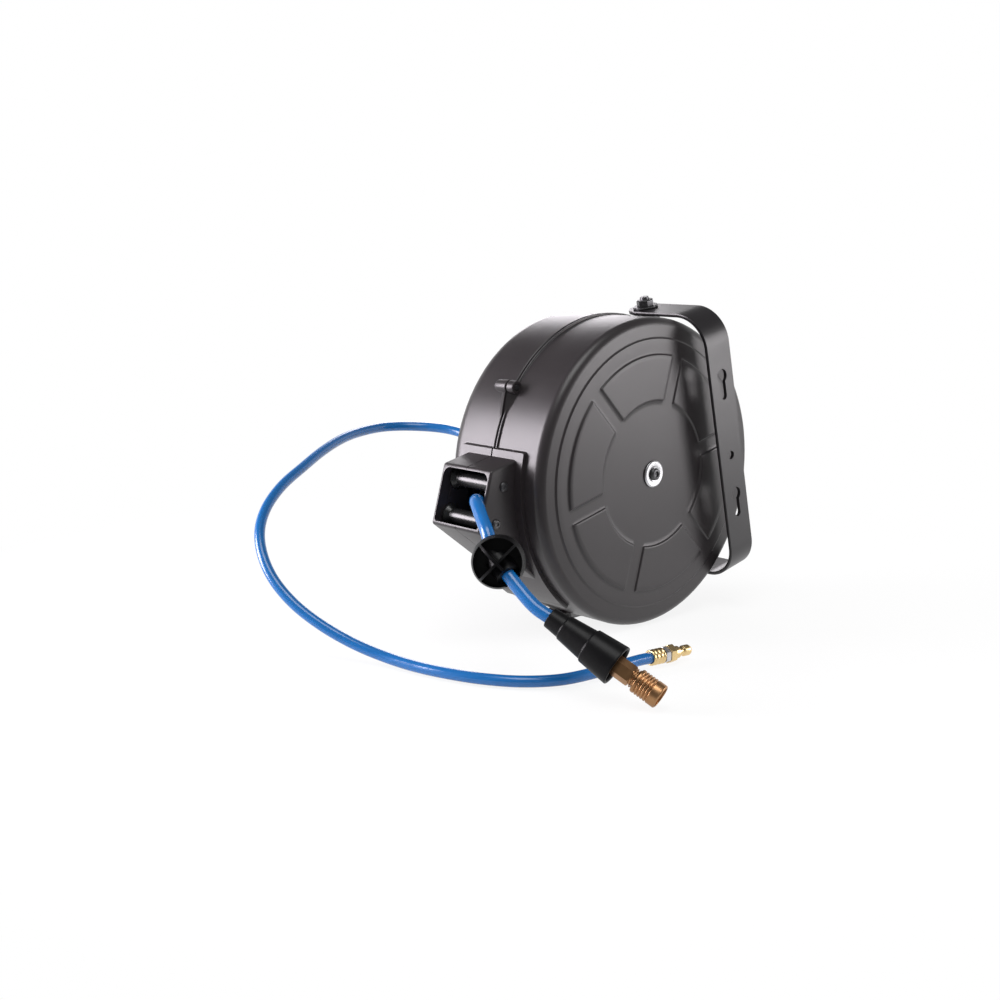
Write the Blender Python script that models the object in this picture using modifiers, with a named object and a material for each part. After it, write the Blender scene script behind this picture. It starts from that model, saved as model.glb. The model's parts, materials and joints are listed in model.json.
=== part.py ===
"""Retractable air hose reel with a quick disconnect coupler on its hose.

The reel is modelled in its own frame: the axle lies along Y, the front face looks
towards -Y and the hose mouth towards -X.  An empty turns that frame about the axle to
the way the reel stands on a floor, and the floor is z = 0.
"""

import math

import bmesh
import bpy
from mathutils import Euler, Matrix, Vector

mm = 0.001

# Standing place: where the axle lies over the footprint, and how far the case is rolled.
AXLE_X = 19.6 * mm
AXLE_Y = -12.6 * mm
STAND_ROLL = math.radians(15.6)

# Case
CASE_RADIUS = 150 * mm
CASE_FRONT = 64 * mm
CASE_REAR = 66 * mm
CASE_WALL = 3.5 * mm
RIM_FILLET = 16 * mm
SEAM_LIP = 1.8 * mm
SEAM_LIP_WIDTH = 3 * mm
FACE_RING_RADIUS = 121 * mm
FACE_RING_DEPTH = 1.4 * mm
FACE_RING_WIDTH = 5 * mm
PANEL_INNER = 71 * mm
PANEL_OUTER = 115 * mm
PANEL_RAISE = 1.2 * mm
SPOKE_WIDTH = 15.2 * mm
SPOKE_COUNT = 6
BOSS_RADIUS = 6.5 * mm
BOSS_STANDS_OUT = 5.4 * mm
BOSS_REACH = 15 * mm
BOSS_ANGLES = (161, 263, 30)
SEAM_SCREW_RADIUS = 2.4 * mm
SEAM_HEAD_RADIUS = 4.6 * mm
SEAM_HEAD_HEIGHT = 2.6 * mm

# Hose mouth
MOUTH_X = -180 * mm
MOUTH_Z = -59 * mm
MOUTH_HEIGHT = 57 * mm
MOUTH_WIDTH = 66.5 * mm
MOUTH_WALL = 3 * mm
MOUTH_TOP_SLOPE = math.radians(29)
MOUTH_EDGE = 3 * mm
MOUTH_BLEND = 3 * mm
ROLLER_SETBACK = 18 * mm
ROLLER_SPACING = 34.5 * mm
ROLLER_RADIUS = 7 * mm
ROLLER_RIM_RADIUS = 10.5 * mm
ROLLER_RIM_WIDTH = 3 * mm
ROLLER_PIN_RADIUS = 3 * mm
PIN_HEAD_RADIUS = 4.6 * mm
PIN_HEAD_HEIGHT = 2 * mm

# Drum, shaft and spring
SHAFT_RADIUS = 11 * mm
SHAFT_BORE = 4.5 * mm
BUSH_WALL = 2 * mm
HUB_WALL = 5.5 * mm
CORE_RADIUS = 62 * mm
CORE_WALL = 4 * mm
DRUM_FRONT = -49 * mm
DRUM_REAR = 41 * mm
DRUM_WEB = 18 * mm
WEB_WALL = 4 * mm
FLANGE_RADIUS = 130 * mm
FLANGE_WALL = 3 * mm
FLANGE_HUB_REACH = 9 * mm
RATCHET_ROOT = 38 * mm
RATCHET_TIP = 44 * mm
RATCHET_WIDTH = 6 * mm
RATCHET_TEETH = 12
TOOTH_FACE_ANGLE = math.radians(95)
TOOTH_FLAT = 0.22
ARBOR_WALL = 5 * mm
SPRING_WIDTH = 40 * mm
SPRING_STRIP = 1.2 * mm
SPRING_TURNS = 6
SPRING_POINTS = 12
SEAL_WIRE = 0.85 * mm

# Pawl on the rear wall: a lever that leans on its radius and swings in behind a tooth
PAWL_ANGLE = math.radians(118)
PAWL_PIVOT_RADIUS = 60 * mm
PAWL_ARM = 26 * mm
PAWL_LEAN = math.radians(42.9)
PAWL_HALF_WIDTH = 2.5 * mm
PAWL_PIN_RADIUS = 3 * mm
PAWL_EYE_RADIUS = 6.5 * mm
PAWL_WIDTH = 5 * mm
PAWL_SPRING_WIRE = 0.6 * mm
PAWL_SPRING_TURNS = 3

# Wound hose
HOSE_RADIUS = 6 * mm
WINDING_LAYERS = 3
WINDING_LOOPS = 6
WINDING_POINTS = 20
HOSE_PITCH = 13 * mm

# Bracket
BRACKET_TURN = math.radians(28.6)
BRACKET_OFFSET = 90 * mm
BRACKET_ARM_LEVEL = 136.5 * mm
BRACKET_DEPTH = 86 * mm
STRAP_WIDTH = 34 * mm
STRAP_WALL = 3.5 * mm
STRAP_BEND = 34 * mm
KEYHOLE_RADIUS = 6 * mm
KEYHOLE_SLOT_RADIUS = 3.2 * mm
KEYHOLE_LENGTH = 20 * mm
KEYHOLE_LEVELS = (73 * mm, -50 * mm)
STRAP_HOLE_RADIUS = 4.2 * mm
STRAP_HOLE_LEVEL = -8.7 * mm
PIVOT_POST_RADIUS = 13 * mm
PIVOT_BOLT_RADIUS = 5 * mm
PIVOT_BOLT_LENGTH = 24 * mm
PIVOT_HEAD_RADIUS = 8.5 * mm
PIVOT_HEAD_HEIGHT = 6 * mm
WASHER_WALL = 2 * mm
WASHER_OVERHANG = 4 * mm

# Axle bolt and air inlet
AXLE_WASHER_RADIUS = 13 * mm
AXLE_HEAD_RADIUS = 7.5 * mm
AXLE_HEAD_HEIGHT = 5 * mm
AXLE_BOLT_LENGTH = 18 * mm
INLET_SHANK_RADIUS = 8 * mm
INLET_SHANK_LENGTH = 12 * mm
INLET_HEX_RADIUS = 13 * mm
INLET_HEX_LENGTH = 10 * mm
INLET_SPIGOT_RADIUS = 6.5 * mm
INLET_SPIGOT_LENGTH = 8 * mm
INLET_BORE = 3.5 * mm
SWIVEL_NUT_RADIUS = 11.5 * mm
SWIVEL_NUT_LENGTH = 14 * mm
FERRULE_LENGTH = 22 * mm
FERRULE_WALL = 1.8 * mm

# Lead hose and its plug
LEAD_RADIUS = 5.1 * mm
PLUG_FERRULE_LENGTH = 14 * mm
PLUG_HEX_RADIUS = 8.6 * mm
PLUG_HEX_LENGTH = 10 * mm
PLUG_NECK_RADIUS = 5.6 * mm
PLUG_NOSE_RADIUS = 5 * mm
PLUG_NOSE_LENGTH = 22 * mm
PLUG_BORE = 2.5 * mm

# Hose stop
STOP_RADIUS = 23.4 * mm
STOP_COLLAR_RADIUS = 11 * mm
STOP_COLLAR_REACH = 6 * mm
STOP_HOSE_GAP = 0.8 * mm

# Coupler, measured along its axis from the narrow end of the boot
BOOT_LENGTH = 64 * mm
BOOT_STEPS = ((12 * mm, 20 * mm), (15 * mm, 42 * mm), (17.6 * mm, BOOT_LENGTH))
BOOT_CAVITY_RADIUS = 14.2 * mm
BOOT_CAVITY_START = 16 * mm
HOSE_INSERT = 40 * mm
TAIL_FERRULE_LENGTH = 20 * mm
TAIL_HEX_RADIUS = 9.6 * mm
TAIL_HEX_LENGTH = 10 * mm
TAIL_SPIGOT_LENGTH = 6 * mm
BODY_HEX_RADIUS = 9.2 * mm
BODY_HEX_LENGTH = 28.4 * mm
BODY_RADIUS = 7 * mm
BODY_CHAMBER = 5 * mm
SOCKET_BORE = 4.6 * mm
SOCKET_DEPTH = 22 * mm
SEAT_BORE = 3.4 * mm
SEAT_WALL = 2 * mm
SEAL_GROOVE = 1.4 * mm
SEAL_GROOVE_WIDTH = 3 * mm
SLEEVE_RADIUS = 10.6 * mm
SLEEVE_LENGTH = 24.1 * mm
SLEEVE_TRAVEL = 4 * mm
SLEEVE_RIBS = 5
RIB_START = 8.4 * mm
RIB_PITCH = 2.8 * mm
RIB_DEPTH = 0.9 * mm
SLEEVE_POCKET = 8.9 * mm
SLEEVE_POCKET_LENGTH = 8 * mm
SLEEVE_SPRING_WIRE = 0.45 * mm
SLEEVE_SPRING_TURNS = 5
BALL_COUNT = 4
BALL_RADIUS = 1.4 * mm
BALL_REACH = 0.8 * mm
BALL_TRAVEL = 1.2 * mm
BALL_SETBACK = 11.5 * mm
RETAINER_WALL = 1.2 * mm
RETAINER_SETBACK = 1.6 * mm
RETAINER_HEIGHT = 1.3 * mm
VALVE_RADIUS = 4.3 * mm
VALVE_DISC = 3 * mm
VALVE_NOSE_RADIUS = 2.7 * mm
VALVE_NOSE_LENGTH = 4 * mm
VALVE_STEM_RADIUS = 1.5 * mm
VALVE_STEM_LENGTH = 6 * mm
VALVE_SPRING_WIRE = 0.4 * mm
VALVE_SPRING_TURNS = 4

# Running clearances
GAP = 0.3 * mm
SEAM_GAP = 0.15 * mm
PAST = 5 * mm
WELD_DISTANCE = 0.02 * mm

# Facets of the larger turned pieces
CASE_STEPS = 36
FLANGE_STEPS = 28
COIL_POINTS = 10
HOSE_SPACING = 16 * mm
LEAD_SPACING = 21 * mm

# Routes of the two hoses: x and y from the axle, and height over the floor.
WORKING_ROUTE = (
    (-57, 9, 60.5), (-90, 6, 81.6), (-122, 1, 101.7), (-150, -6, 119.8), (-172.8, -13, 134.6),
    (-190, -21, 143.8), (-206, -33, 146.2), (-217, -48.5, 137),
)
STOP_CENTRE = (-224.5, -89.6, 104.4)
STOP_DIRECTION = (-0.05, -0.82, -0.57)
STOP_STRAIGHT = (-28 * mm, -14 * mm, 0, 14 * mm, 29 * mm)
COUPLER_START = (-215.7, -149.4, 63.2)
COUPLER_DIRECTION = (0.317, -0.814, -0.486)
COUPLER_LEAD_IN = 23 * mm
LEAD_ROUTE = (
    (0, 164, 156), (-2, 200, 161), (-10, 234, 166),
    (-30, 262, 168), (-62, 275, 169), (-98, 270, 168), (-135, 256, 165), (-175, 236, 158),
    (-214, 215, 148), (-252, 196, 136), (-282, 178, 121), (-302, 160, 104), (-312, 141, 85),
    (-314, 120, 65), (-309, 95, 46), (-299, 67, 30), (-286, 38, 17), (-274, 8, 9),
    (-266, -25, 6), (-258, -60, 6), (-245, -93, 6), (-225, -121, 6), (-197, -140, 6.2),
    (-160, -148.5, 7.4),
)
LEAD_STRAIGHT = 16 * mm
LEAD_END = (-89, -157, 9)
LEAD_END_DIRECTION = (0.991, -0.136, 0)
LEAD_END_STRAIGHT = (30 * mm, 15 * mm, 0)

COLOURS = {
    "case_black": ((0.045, 0.042, 0.046, 1), 0.45, 0.0),
    "strap_black": ((0.03, 0.03, 0.032, 1), 0.4, 0.3),
    "steel": ((0.62, 0.62, 0.64, 1), 0.3, 1.0),
    "dark_steel": ((0.16, 0.16, 0.17, 1), 0.4, 1.0),
    "blue_hose": ((0.03, 0.2, 0.62, 1), 0.3, 0.0),
    "rubber": ((0.02, 0.02, 0.021, 1), 0.6, 0.0),
    "brass": ((0.72, 0.5, 0.2, 1), 0.3, 1.0),
    "bronze": ((0.5, 0.36, 0.2, 1), 0.32, 1.0),
    "nylon": ((0.03, 0.03, 0.032, 1), 0.3, 0.0),
    "drum_grey": ((0.12, 0.12, 0.13, 1), 0.5, 0.0),
}


def clear_scene():
    for item in list(bpy.data.objects):
        bpy.data.objects.remove(item, do_unlink=True)


def new_collection(name):
    group = bpy.data.collections.new(name)
    bpy.context.scene.collection.children.link(group)
    return group


def finish_material(name):
    """One Principled material for each finish, made once."""
    found = bpy.data.materials.get(name)
    if found:
        return found
    colour, roughness, metallic = COLOURS[name]
    made = bpy.data.materials.new(name)
    made.use_nodes = True
    shader = made.node_tree.nodes["Principled BSDF"]
    shader.inputs["Base Color"].default_value = colour
    shader.inputs["Roughness"].default_value = roughness
    shader.inputs["Metallic"].default_value = metallic
    return made


clear_scene()
PARTS = new_collection("air_hose_reel")
CUTTERS = new_collection("cutters")


def empty(name, parent=None, place=(0, 0, 0), turn=(0, 0, 0)):
    made = bpy.data.objects.new(name, None)
    CUTTERS.objects.link(made)
    made.parent = parent
    made.location = place
    made.rotation_euler = turn
    return made


def turn_to(direction):
    """Euler angles that carry local +Z onto a direction."""
    return Vector((0, 0, 1)).rotation_difference(Vector(direction)).to_euler()


def add(name, data, parent, finish, place=(0, 0, 0), turn=(0, 0, 0)):
    """Link a mesh as a part, or as a cutter where it has no finish."""
    made = bpy.data.objects.new(name, data)
    made.parent = parent
    made.location = place
    made.rotation_euler = turn
    if finish is None:
        CUTTERS.objects.link(made)
        made.hide_render = True
        made.display_type = "WIRE"
    else:
        PARTS.objects.link(made)
        data.materials.append(finish_material(finish))
    return made


def turned(name, profile, parent, finish, place=(0, 0, 0), turn=(0, 0, 0), steps=32):
    """A turned piece: (radius, height) points run down the outer side, then up the bore."""
    mesh = bpy.data.meshes.new(name)
    points = [(radius, 0, height) for radius, height in profile]
    edges = [(i, i + 1) for i in range(len(points) - 1)]
    if profile[0][0] > 0:
        edges.append((len(points) - 1, 0))
    mesh.from_pydata(points, edges, [])
    made = add(name, mesh, parent, finish, place, turn)
    screw = made.modifiers.new("turn", "SCREW")
    screw.steps = steps
    screw.render_steps = steps
    screw.use_merge_vertices = True
    screw.merge_threshold = 0.00001
    screw.use_smooth_shade = True
    return made


def ring(name, outer, inner, low, high, parent, finish, place=(0, 0, 0), turn=(0, 0, 0), steps=32):
    profile = [(outer, high), (outer, low), (inner, low), (inner, high)]
    return turned(name, profile, parent, finish, place, turn, steps)


def rod(name, radius, low, high, parent, finish, place=(0, 0, 0), turn=(0, 0, 0), steps=24):
    profile = [(0, high), (radius, high), (radius, low), (0, low)]
    return turned(name, profile, parent, finish, place, turn, steps)


def arc(centre_x, centre_y, radius, start, stop, count):
    """Points on an arc between two angles in degrees, ends included."""
    points = []
    for i in range(count + 1):
        angle = math.radians(start + (stop - start) * i / count)
        points.append((centre_x + radius * math.cos(angle), centre_y + radius * math.sin(angle)))
    return points


def weld(mesh):
    work = bmesh.new()
    work.from_mesh(mesh)
    bmesh.ops.remove_doubles(work, verts=work.verts, dist=0.000002)
    bmesh.ops.recalc_face_normals(work, faces=work.faces)
    work.to_mesh(mesh)
    work.free()


def curve_to_mesh(curve, name):
    """The curve's evaluated mesh with its caps welded; the curve is removed."""
    holder = bpy.data.objects.new(name + "_curve", curve)
    CUTTERS.objects.link(holder)
    graph = bpy.context.evaluated_depsgraph_get()
    mesh = bpy.data.meshes.new_from_object(holder.evaluated_get(graph))
    mesh.name = name
    mesh.materials.clear()
    bpy.data.objects.remove(holder, do_unlink=True)
    bpy.data.curves.remove(curve)
    weld(mesh)
    return mesh


def plate(name, outline, thickness, parent, finish, place=(0, 0, 0), turn=(0, 0, 0)):
    """A flat outline in local XY, as thick along local Z as stated, centred on it."""
    curve = bpy.data.curves.new(name, "CURVE")
    curve.dimensions = "2D"
    curve.fill_mode = "BOTH"
    curve.extrude = thickness / 2
    spline = curve.splines.new("POLY")
    spline.points.add(len(outline) - 1)
    for point, (x, y) in zip(spline.points, outline):
        point.co = (x, y, 0, 1)
    spline.use_cyclic_u = True
    mesh = curve_to_mesh(curve, name)
    return add(name, mesh, parent, finish, place, turn)


def tube(name, points, radius, parent, finish, sides=2, place=(0, 0, 0), turn=(0, 0, 0)):
    """A round tube along points, with filled caps."""
    curve = bpy.data.curves.new(name, "CURVE")
    curve.dimensions = "3D"
    curve.bevel_depth = radius
    curve.bevel_resolution = sides
    curve.use_fill_caps = True
    spline = curve.splines.new("POLY")
    spline.points.add(len(points) - 1)
    for point, place_at in zip(spline.points, points):
        point.co = (*place_at, 1)
    mesh = curve_to_mesh(curve, name)
    mesh.shade_smooth()
    return add(name, mesh, parent, finish, place, turn)


def combine(target, other, operation):
    step = target.modifiers.new(operation.lower(), "BOOLEAN")
    step.operation = operation
    step.object = other
    step.solver = "EXACT"


def combine_all(target, others, operation):
    """One Boolean with many operands, which keeps its facets cleaner than a chain of them."""
    group = bpy.data.collections.new(f"{target.name}_{operation.lower()}")
    CUTTERS.children.link(group)
    for other in others:
        CUTTERS.objects.unlink(other)
        group.objects.link(other)
    step = target.modifiers.new(operation.lower(), "BOOLEAN")
    step.operation = operation
    step.operand_type = "COLLECTION"
    step.collection = group
    step.solver = "EXACT"


def cut(target, other):
    combine(target, other, "DIFFERENCE")


def join(target, other):
    combine(target, other, "UNION")


def drop_slivers(target):
    """Merge the hair-thin edges that two nearly matching facets can leave."""
    step = target.modifiers.new("slivers", "WELD")
    step.merge_threshold = WELD_DISTANCE


def hexagon(radius):
    return arc(0, 0, radius, 0, 300, 5)


def hex_head(name, radius, low, high, parent, place=(0, 0, 0), turn=(0, 0, 0)):
    """A six-sided prism used to shape nuts and bolt heads, between two heights."""
    middle = Matrix.Translation((0, 0, (low + high) / 2))
    lift = Matrix.Translation(place) @ Euler(turn).to_matrix().to_4x4() @ middle
    made = plate(name, hexagon(radius), high - low, parent, None)
    made.location = lift.to_translation()
    made.rotation_euler = lift.to_euler()
    return made


def spline_points(route, spacing):
    """A smooth curve through hand-picked points, read at about an even spacing."""
    knots = [Vector(point) for point in route]
    first = knots[0] * 2 - knots[1]
    last = knots[-1] * 2 - knots[-2]
    padded = [first] + knots + [last]
    fine = []
    for i in range(1, len(padded) - 2):
        before, start, stop, after = padded[i - 1:i + 3]
        for k in range(12):
            t = k / 12
            fine.append(0.5 * (2 * start + (stop - before) * t
                               + (2 * before - 5 * start + 4 * stop - after) * t ** 2
                               + (3 * start - before - 3 * stop + after) * t ** 3))
    fine.append(knots[-1])
    total = sum((b - a).length for a, b in zip(fine, fine[1:]))
    count = max(2, round(total / spacing))
    picked = [fine[0]]
    travelled = 0.0
    target = total / count
    for a, b in zip(fine, fine[1:]):
        step = (b - a).length
        while travelled + step >= target - 1e-9 and len(picked) < count:
            picked.append(a.lerp(b, (target - travelled) / step))
            target += total / count
        travelled += step
    picked.append(fine[-1])
    return picked, total


def standing_height():
    """Height of the axle when the lowest corner of the seam lip is on the floor."""
    facet = 2 * math.pi / CASE_STEPS
    corner = (STAND_ROLL - math.pi / 2) % facet
    return (CASE_RADIUS + SEAM_LIP) * math.cos(min(corner, facet - corner))


# Frames
FLOOR_TO_AXLE = standing_height()
BOSS_CIRCLE = CASE_RADIUS + BOSS_STANDS_OUT
stand = empty("stand", None, (AXLE_X, AXLE_Y, FLOOR_TO_AXLE))
floor_frame = empty("floor_frame", None, (AXLE_X, AXLE_Y, 0))
reel = empty("reel", stand, (0, 0, 0), (0, STAND_ROLL, 0))
FRONTWARD = (math.radians(90), 0, 0)
REARWARD = (math.radians(-90), 0, 0)


def case_profile(depth, radius, fillet, low, lip=True):
    """Half of the case as a solid cup: face, rounded rim, wall and seam lip."""
    groove_in = FACE_RING_RADIUS
    groove_out = FACE_RING_RADIUS + FACE_RING_WIDTH
    profile = [(0, depth)]
    if lip:
        profile += [(groove_in, depth), (groove_in + FACE_RING_DEPTH, depth - FACE_RING_DEPTH)]
        profile += [(groove_out, depth - FACE_RING_DEPTH)]
        depth -= FACE_RING_DEPTH
    profile += arc(radius - fillet, depth - fillet, fillet, 90, 0, 4)
    if lip:
        profile += [(radius, SEAM_LIP_WIDTH), (radius + SEAM_LIP, SEAM_LIP_WIDTH)]
        profile += [(radius + SEAM_LIP, low)]
    else:
        profile += [(radius, low)]
    profile += [(0, low)]
    return profile


def mouth_outline(inset, reach):
    """The hose mouth's side outline: steep top, and an underside tangent to the case."""
    radius = CASE_RADIUS - MOUTH_BLEND - inset
    top = MOUTH_Z + MOUTH_HEIGHT / 2 - inset
    bottom = MOUTH_Z - MOUTH_HEIGHT / 2 + inset
    front = MOUTH_X - reach
    corner = Vector((MOUTH_X, bottom))
    polar = math.atan2(corner.y, corner.x)
    tangent = polar + math.acos(radius / corner.length)
    touch = Vector((radius * math.cos(tangent), radius * math.sin(tangent)))
    run = (touch - corner) / (touch.x - corner.x)
    slope = math.tan(MOUTH_TOP_SLOPE)
    inner_x = -CASE_RADIUS * 0.75
    return [
        (front, top - slope * reach), (inner_x, top + slope * (inner_x - MOUTH_X)),
        (inner_x * 0.35, -CASE_RADIUS * 0.5), tuple(touch),
        (front, bottom - run.y * reach),
    ]


def bracket_frame():
    """The swing axis: offset behind the axle and leaning on it."""
    axis = Vector((-math.sin(BRACKET_TURN), 0, math.cos(BRACKET_TURN)))
    across = Vector((math.cos(BRACKET_TURN), 0, math.sin(BRACKET_TURN)))
    return axis, across * BRACKET_OFFSET


def polar_point(radius, angle):
    return (radius * math.cos(angle), 0, radius * math.sin(angle))


def case_half(name, side):
    """Front (side -1) or rear (side 1) shell with its half of the mouth and bosses."""
    depth = CASE_FRONT if side < 0 else CASE_REAR
    outward = FRONTWARD if side < 0 else REARWARD
    shell = turned(name, case_profile(depth, CASE_RADIUS, RIM_FILLET, -SEAM_LIP_WIDTH), reel,
                   "case_black", turn=outward, steps=CASE_STEPS)
    mouth = plate(name + "_mouth", mouth_outline(0, 0), MOUTH_WIDTH, reel, None, turn=FRONTWARD)
    rounding = mouth.modifiers.new("edges", "BEVEL")
    rounding.width = MOUTH_EDGE
    rounding.segments = 2
    rounding.limit_method = "ANGLE"
    additions = [mouth]
    axis, centre = bracket_frame()
    for end in (1, -1):
        additions.append(rod(f"{name}_post_{end}", PIVOT_POST_RADIUS, CASE_RADIUS * 0.6,
                             BRACKET_ARM_LEVEL - STRAP_WALL / 2 - GAP, reel, None, centre,
                             turn_to(axis * end), steps=16))
    for number, angle in enumerate(BOSS_ANGLES):
        additions.append(rod(f"{name}_boss_{number}", BOSS_RADIUS, -BOSS_REACH, BOSS_REACH, reel,
                             None, polar_point(BOSS_CIRCLE, math.radians(angle)), FRONTWARD, 10))
    if side < 0:
        additions += [face_panel(f"face_panel_{number}", number) for number in range(SPOKE_COUNT)]
    combine_all(shell, additions, "UNION")
    combine_all(shell, case_cuts(name, side, depth, outward), "DIFFERENCE")
    drop_slivers(shell)
    return shell


def case_cuts(name, side, depth, outward):
    """The hollow of a case half, its throat, its holes, and the far side of the seam."""
    cavity_profile = case_profile(depth - CASE_WALL - FACE_RING_DEPTH, CASE_RADIUS - CASE_WALL,
                                  RIM_FILLET - CASE_WALL, -PAST, lip=False)
    cuts = [turned(name + "_cavity", cavity_profile, reel, None, turn=outward, steps=CASE_STEPS)]
    cuts.append(plate(name + "_throat", mouth_outline(MOUTH_WALL, PAST),
                      MOUTH_WIDTH - 2 * MOUTH_WALL, reel, None, turn=FRONTWARD))
    axis, centre = bracket_frame()
    for end in (1, -1):
        cuts.append(rod(f"{name}_bolt_hole_{end}", PIVOT_BOLT_RADIUS + GAP, CASE_RADIUS * 0.5,
                        BRACKET_ARM_LEVEL + PAST, reel, None, centre, turn_to(axis * end), 12))
    for number, angle in enumerate(BOSS_ANGLES):
        cuts.append(rod(f"{name}_screw_hole_{number}", SEAM_SCREW_RADIUS + GAP,
                        -BOSS_REACH - PAST, BOSS_REACH + PAST, reel, None,
                        polar_point(BOSS_CIRCLE, math.radians(angle)), FRONTWARD, 8))
    for number, level in enumerate(roller_levels()):
        cuts.append(rod(f"{name}_pin_hole_{number}", ROLLER_PIN_RADIUS + GAP, -MOUTH_WIDTH,
                        MOUTH_WIDTH, reel, None, (MOUTH_X + ROLLER_SETBACK, 0, level),
                        FRONTWARD, 12))
    axle_hole = SHAFT_BORE if side < 0 else INLET_SHANK_RADIUS
    cuts.append(rod(name + "_axle_hole", axle_hole + GAP, 0, depth + PAST, reel, None,
                    turn=outward))
    far_side = bpy.data.meshes.new(name + "_far_side")
    box = bmesh.new()
    bmesh.ops.create_cube(box, size=1)
    size = 4 * CASE_RADIUS
    bmesh.ops.scale(box, vec=(size, CASE_RADIUS, size), verts=box.verts)
    box.to_mesh(far_side)
    box.free()
    middle = -side * (CASE_RADIUS / 2 - SEAM_GAP)
    cuts.append(add(name + "_far_side", far_side, reel, None, (0, middle, 0)))
    return cuts


def face_panel(name, number):
    """One raised sector of the front face, with spoke edges parallel to its neighbours'."""
    half = SPOKE_WIDTH / 2
    start = 90 + 360 / SPOKE_COUNT * number
    stop = start + 360 / SPOKE_COUNT
    outer_trim = math.degrees(math.asin(half / PANEL_OUTER))
    inner_trim = math.degrees(math.asin(half / PANEL_INNER))
    outline = arc(0, 0, PANEL_OUTER, start + outer_trim, stop - outer_trim, 7)
    outline += arc(0, 0, PANEL_INNER, stop - inner_trim, start + inner_trim, 5)
    thickness = 2 * PANEL_RAISE
    return plate(name, outline, thickness, reel, None, (0, -CASE_FRONT, 0), FRONTWARD)


def roller_levels():
    return (MOUTH_Z + ROLLER_SPACING / 2, MOUTH_Z - ROLLER_SPACING / 2)


def build_case():
    case_half("front_case_half", -1)
    case_half("rear_case_half", 1)
    for number, angle in enumerate(BOSS_ANGLES):
        centre = polar_point(BOSS_CIRCLE, math.radians(angle))
        head = BOSS_REACH + GAP
        profile = [
            (0, head + SEAM_HEAD_HEIGHT), (SEAM_HEAD_RADIUS * 0.7, head + SEAM_HEAD_HEIGHT),
            (SEAM_HEAD_RADIUS, head + SEAM_HEAD_HEIGHT * 0.5), (SEAM_HEAD_RADIUS, head),
            (SEAM_SCREW_RADIUS, head), (SEAM_SCREW_RADIUS, -BOSS_REACH), (0, -BOSS_REACH),
        ]
        turned(f"seam_screw_{number + 1}", profile, reel, "dark_steel", centre, REARWARD, 10)


def build_rollers():
    inner = MOUTH_WIDTH / 2 - MOUTH_WALL
    half = inner - GAP
    rim = half - ROLLER_RIM_WIDTH
    bore = ROLLER_PIN_RADIUS + GAP
    waist = rim - (ROLLER_RIM_RADIUS - ROLLER_RADIUS)
    profile = [
        (ROLLER_RIM_RADIUS, half), (ROLLER_RIM_RADIUS, rim), (ROLLER_RADIUS, waist),
        (ROLLER_RADIUS, -waist), (ROLLER_RIM_RADIUS, -rim), (ROLLER_RIM_RADIUS, -half),
        (bore, -half), (bore, half),
    ]
    head = MOUTH_WIDTH / 2 + GAP
    pin = [
        (0, head + PIN_HEAD_HEIGHT), (PIN_HEAD_RADIUS * 0.75, head + PIN_HEAD_HEIGHT),
        (PIN_HEAD_RADIUS, head + PIN_HEAD_HEIGHT * 0.4), (PIN_HEAD_RADIUS, head),
        (ROLLER_PIN_RADIUS, head), (ROLLER_PIN_RADIUS, -head - PIN_HEAD_HEIGHT),
        (0, -head - PIN_HEAD_HEIGHT),
    ]
    for word, level in zip(("upper", "lower"), roller_levels()):
        place = (MOUTH_X + ROLLER_SETBACK, 0, level)
        turned(f"{word}_guide_roller", profile, reel, "nylon", place, REARWARD, 16)
        turned(f"{word}_roller_pin", pin, reel, "dark_steel", place, FRONTWARD, 12)


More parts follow.
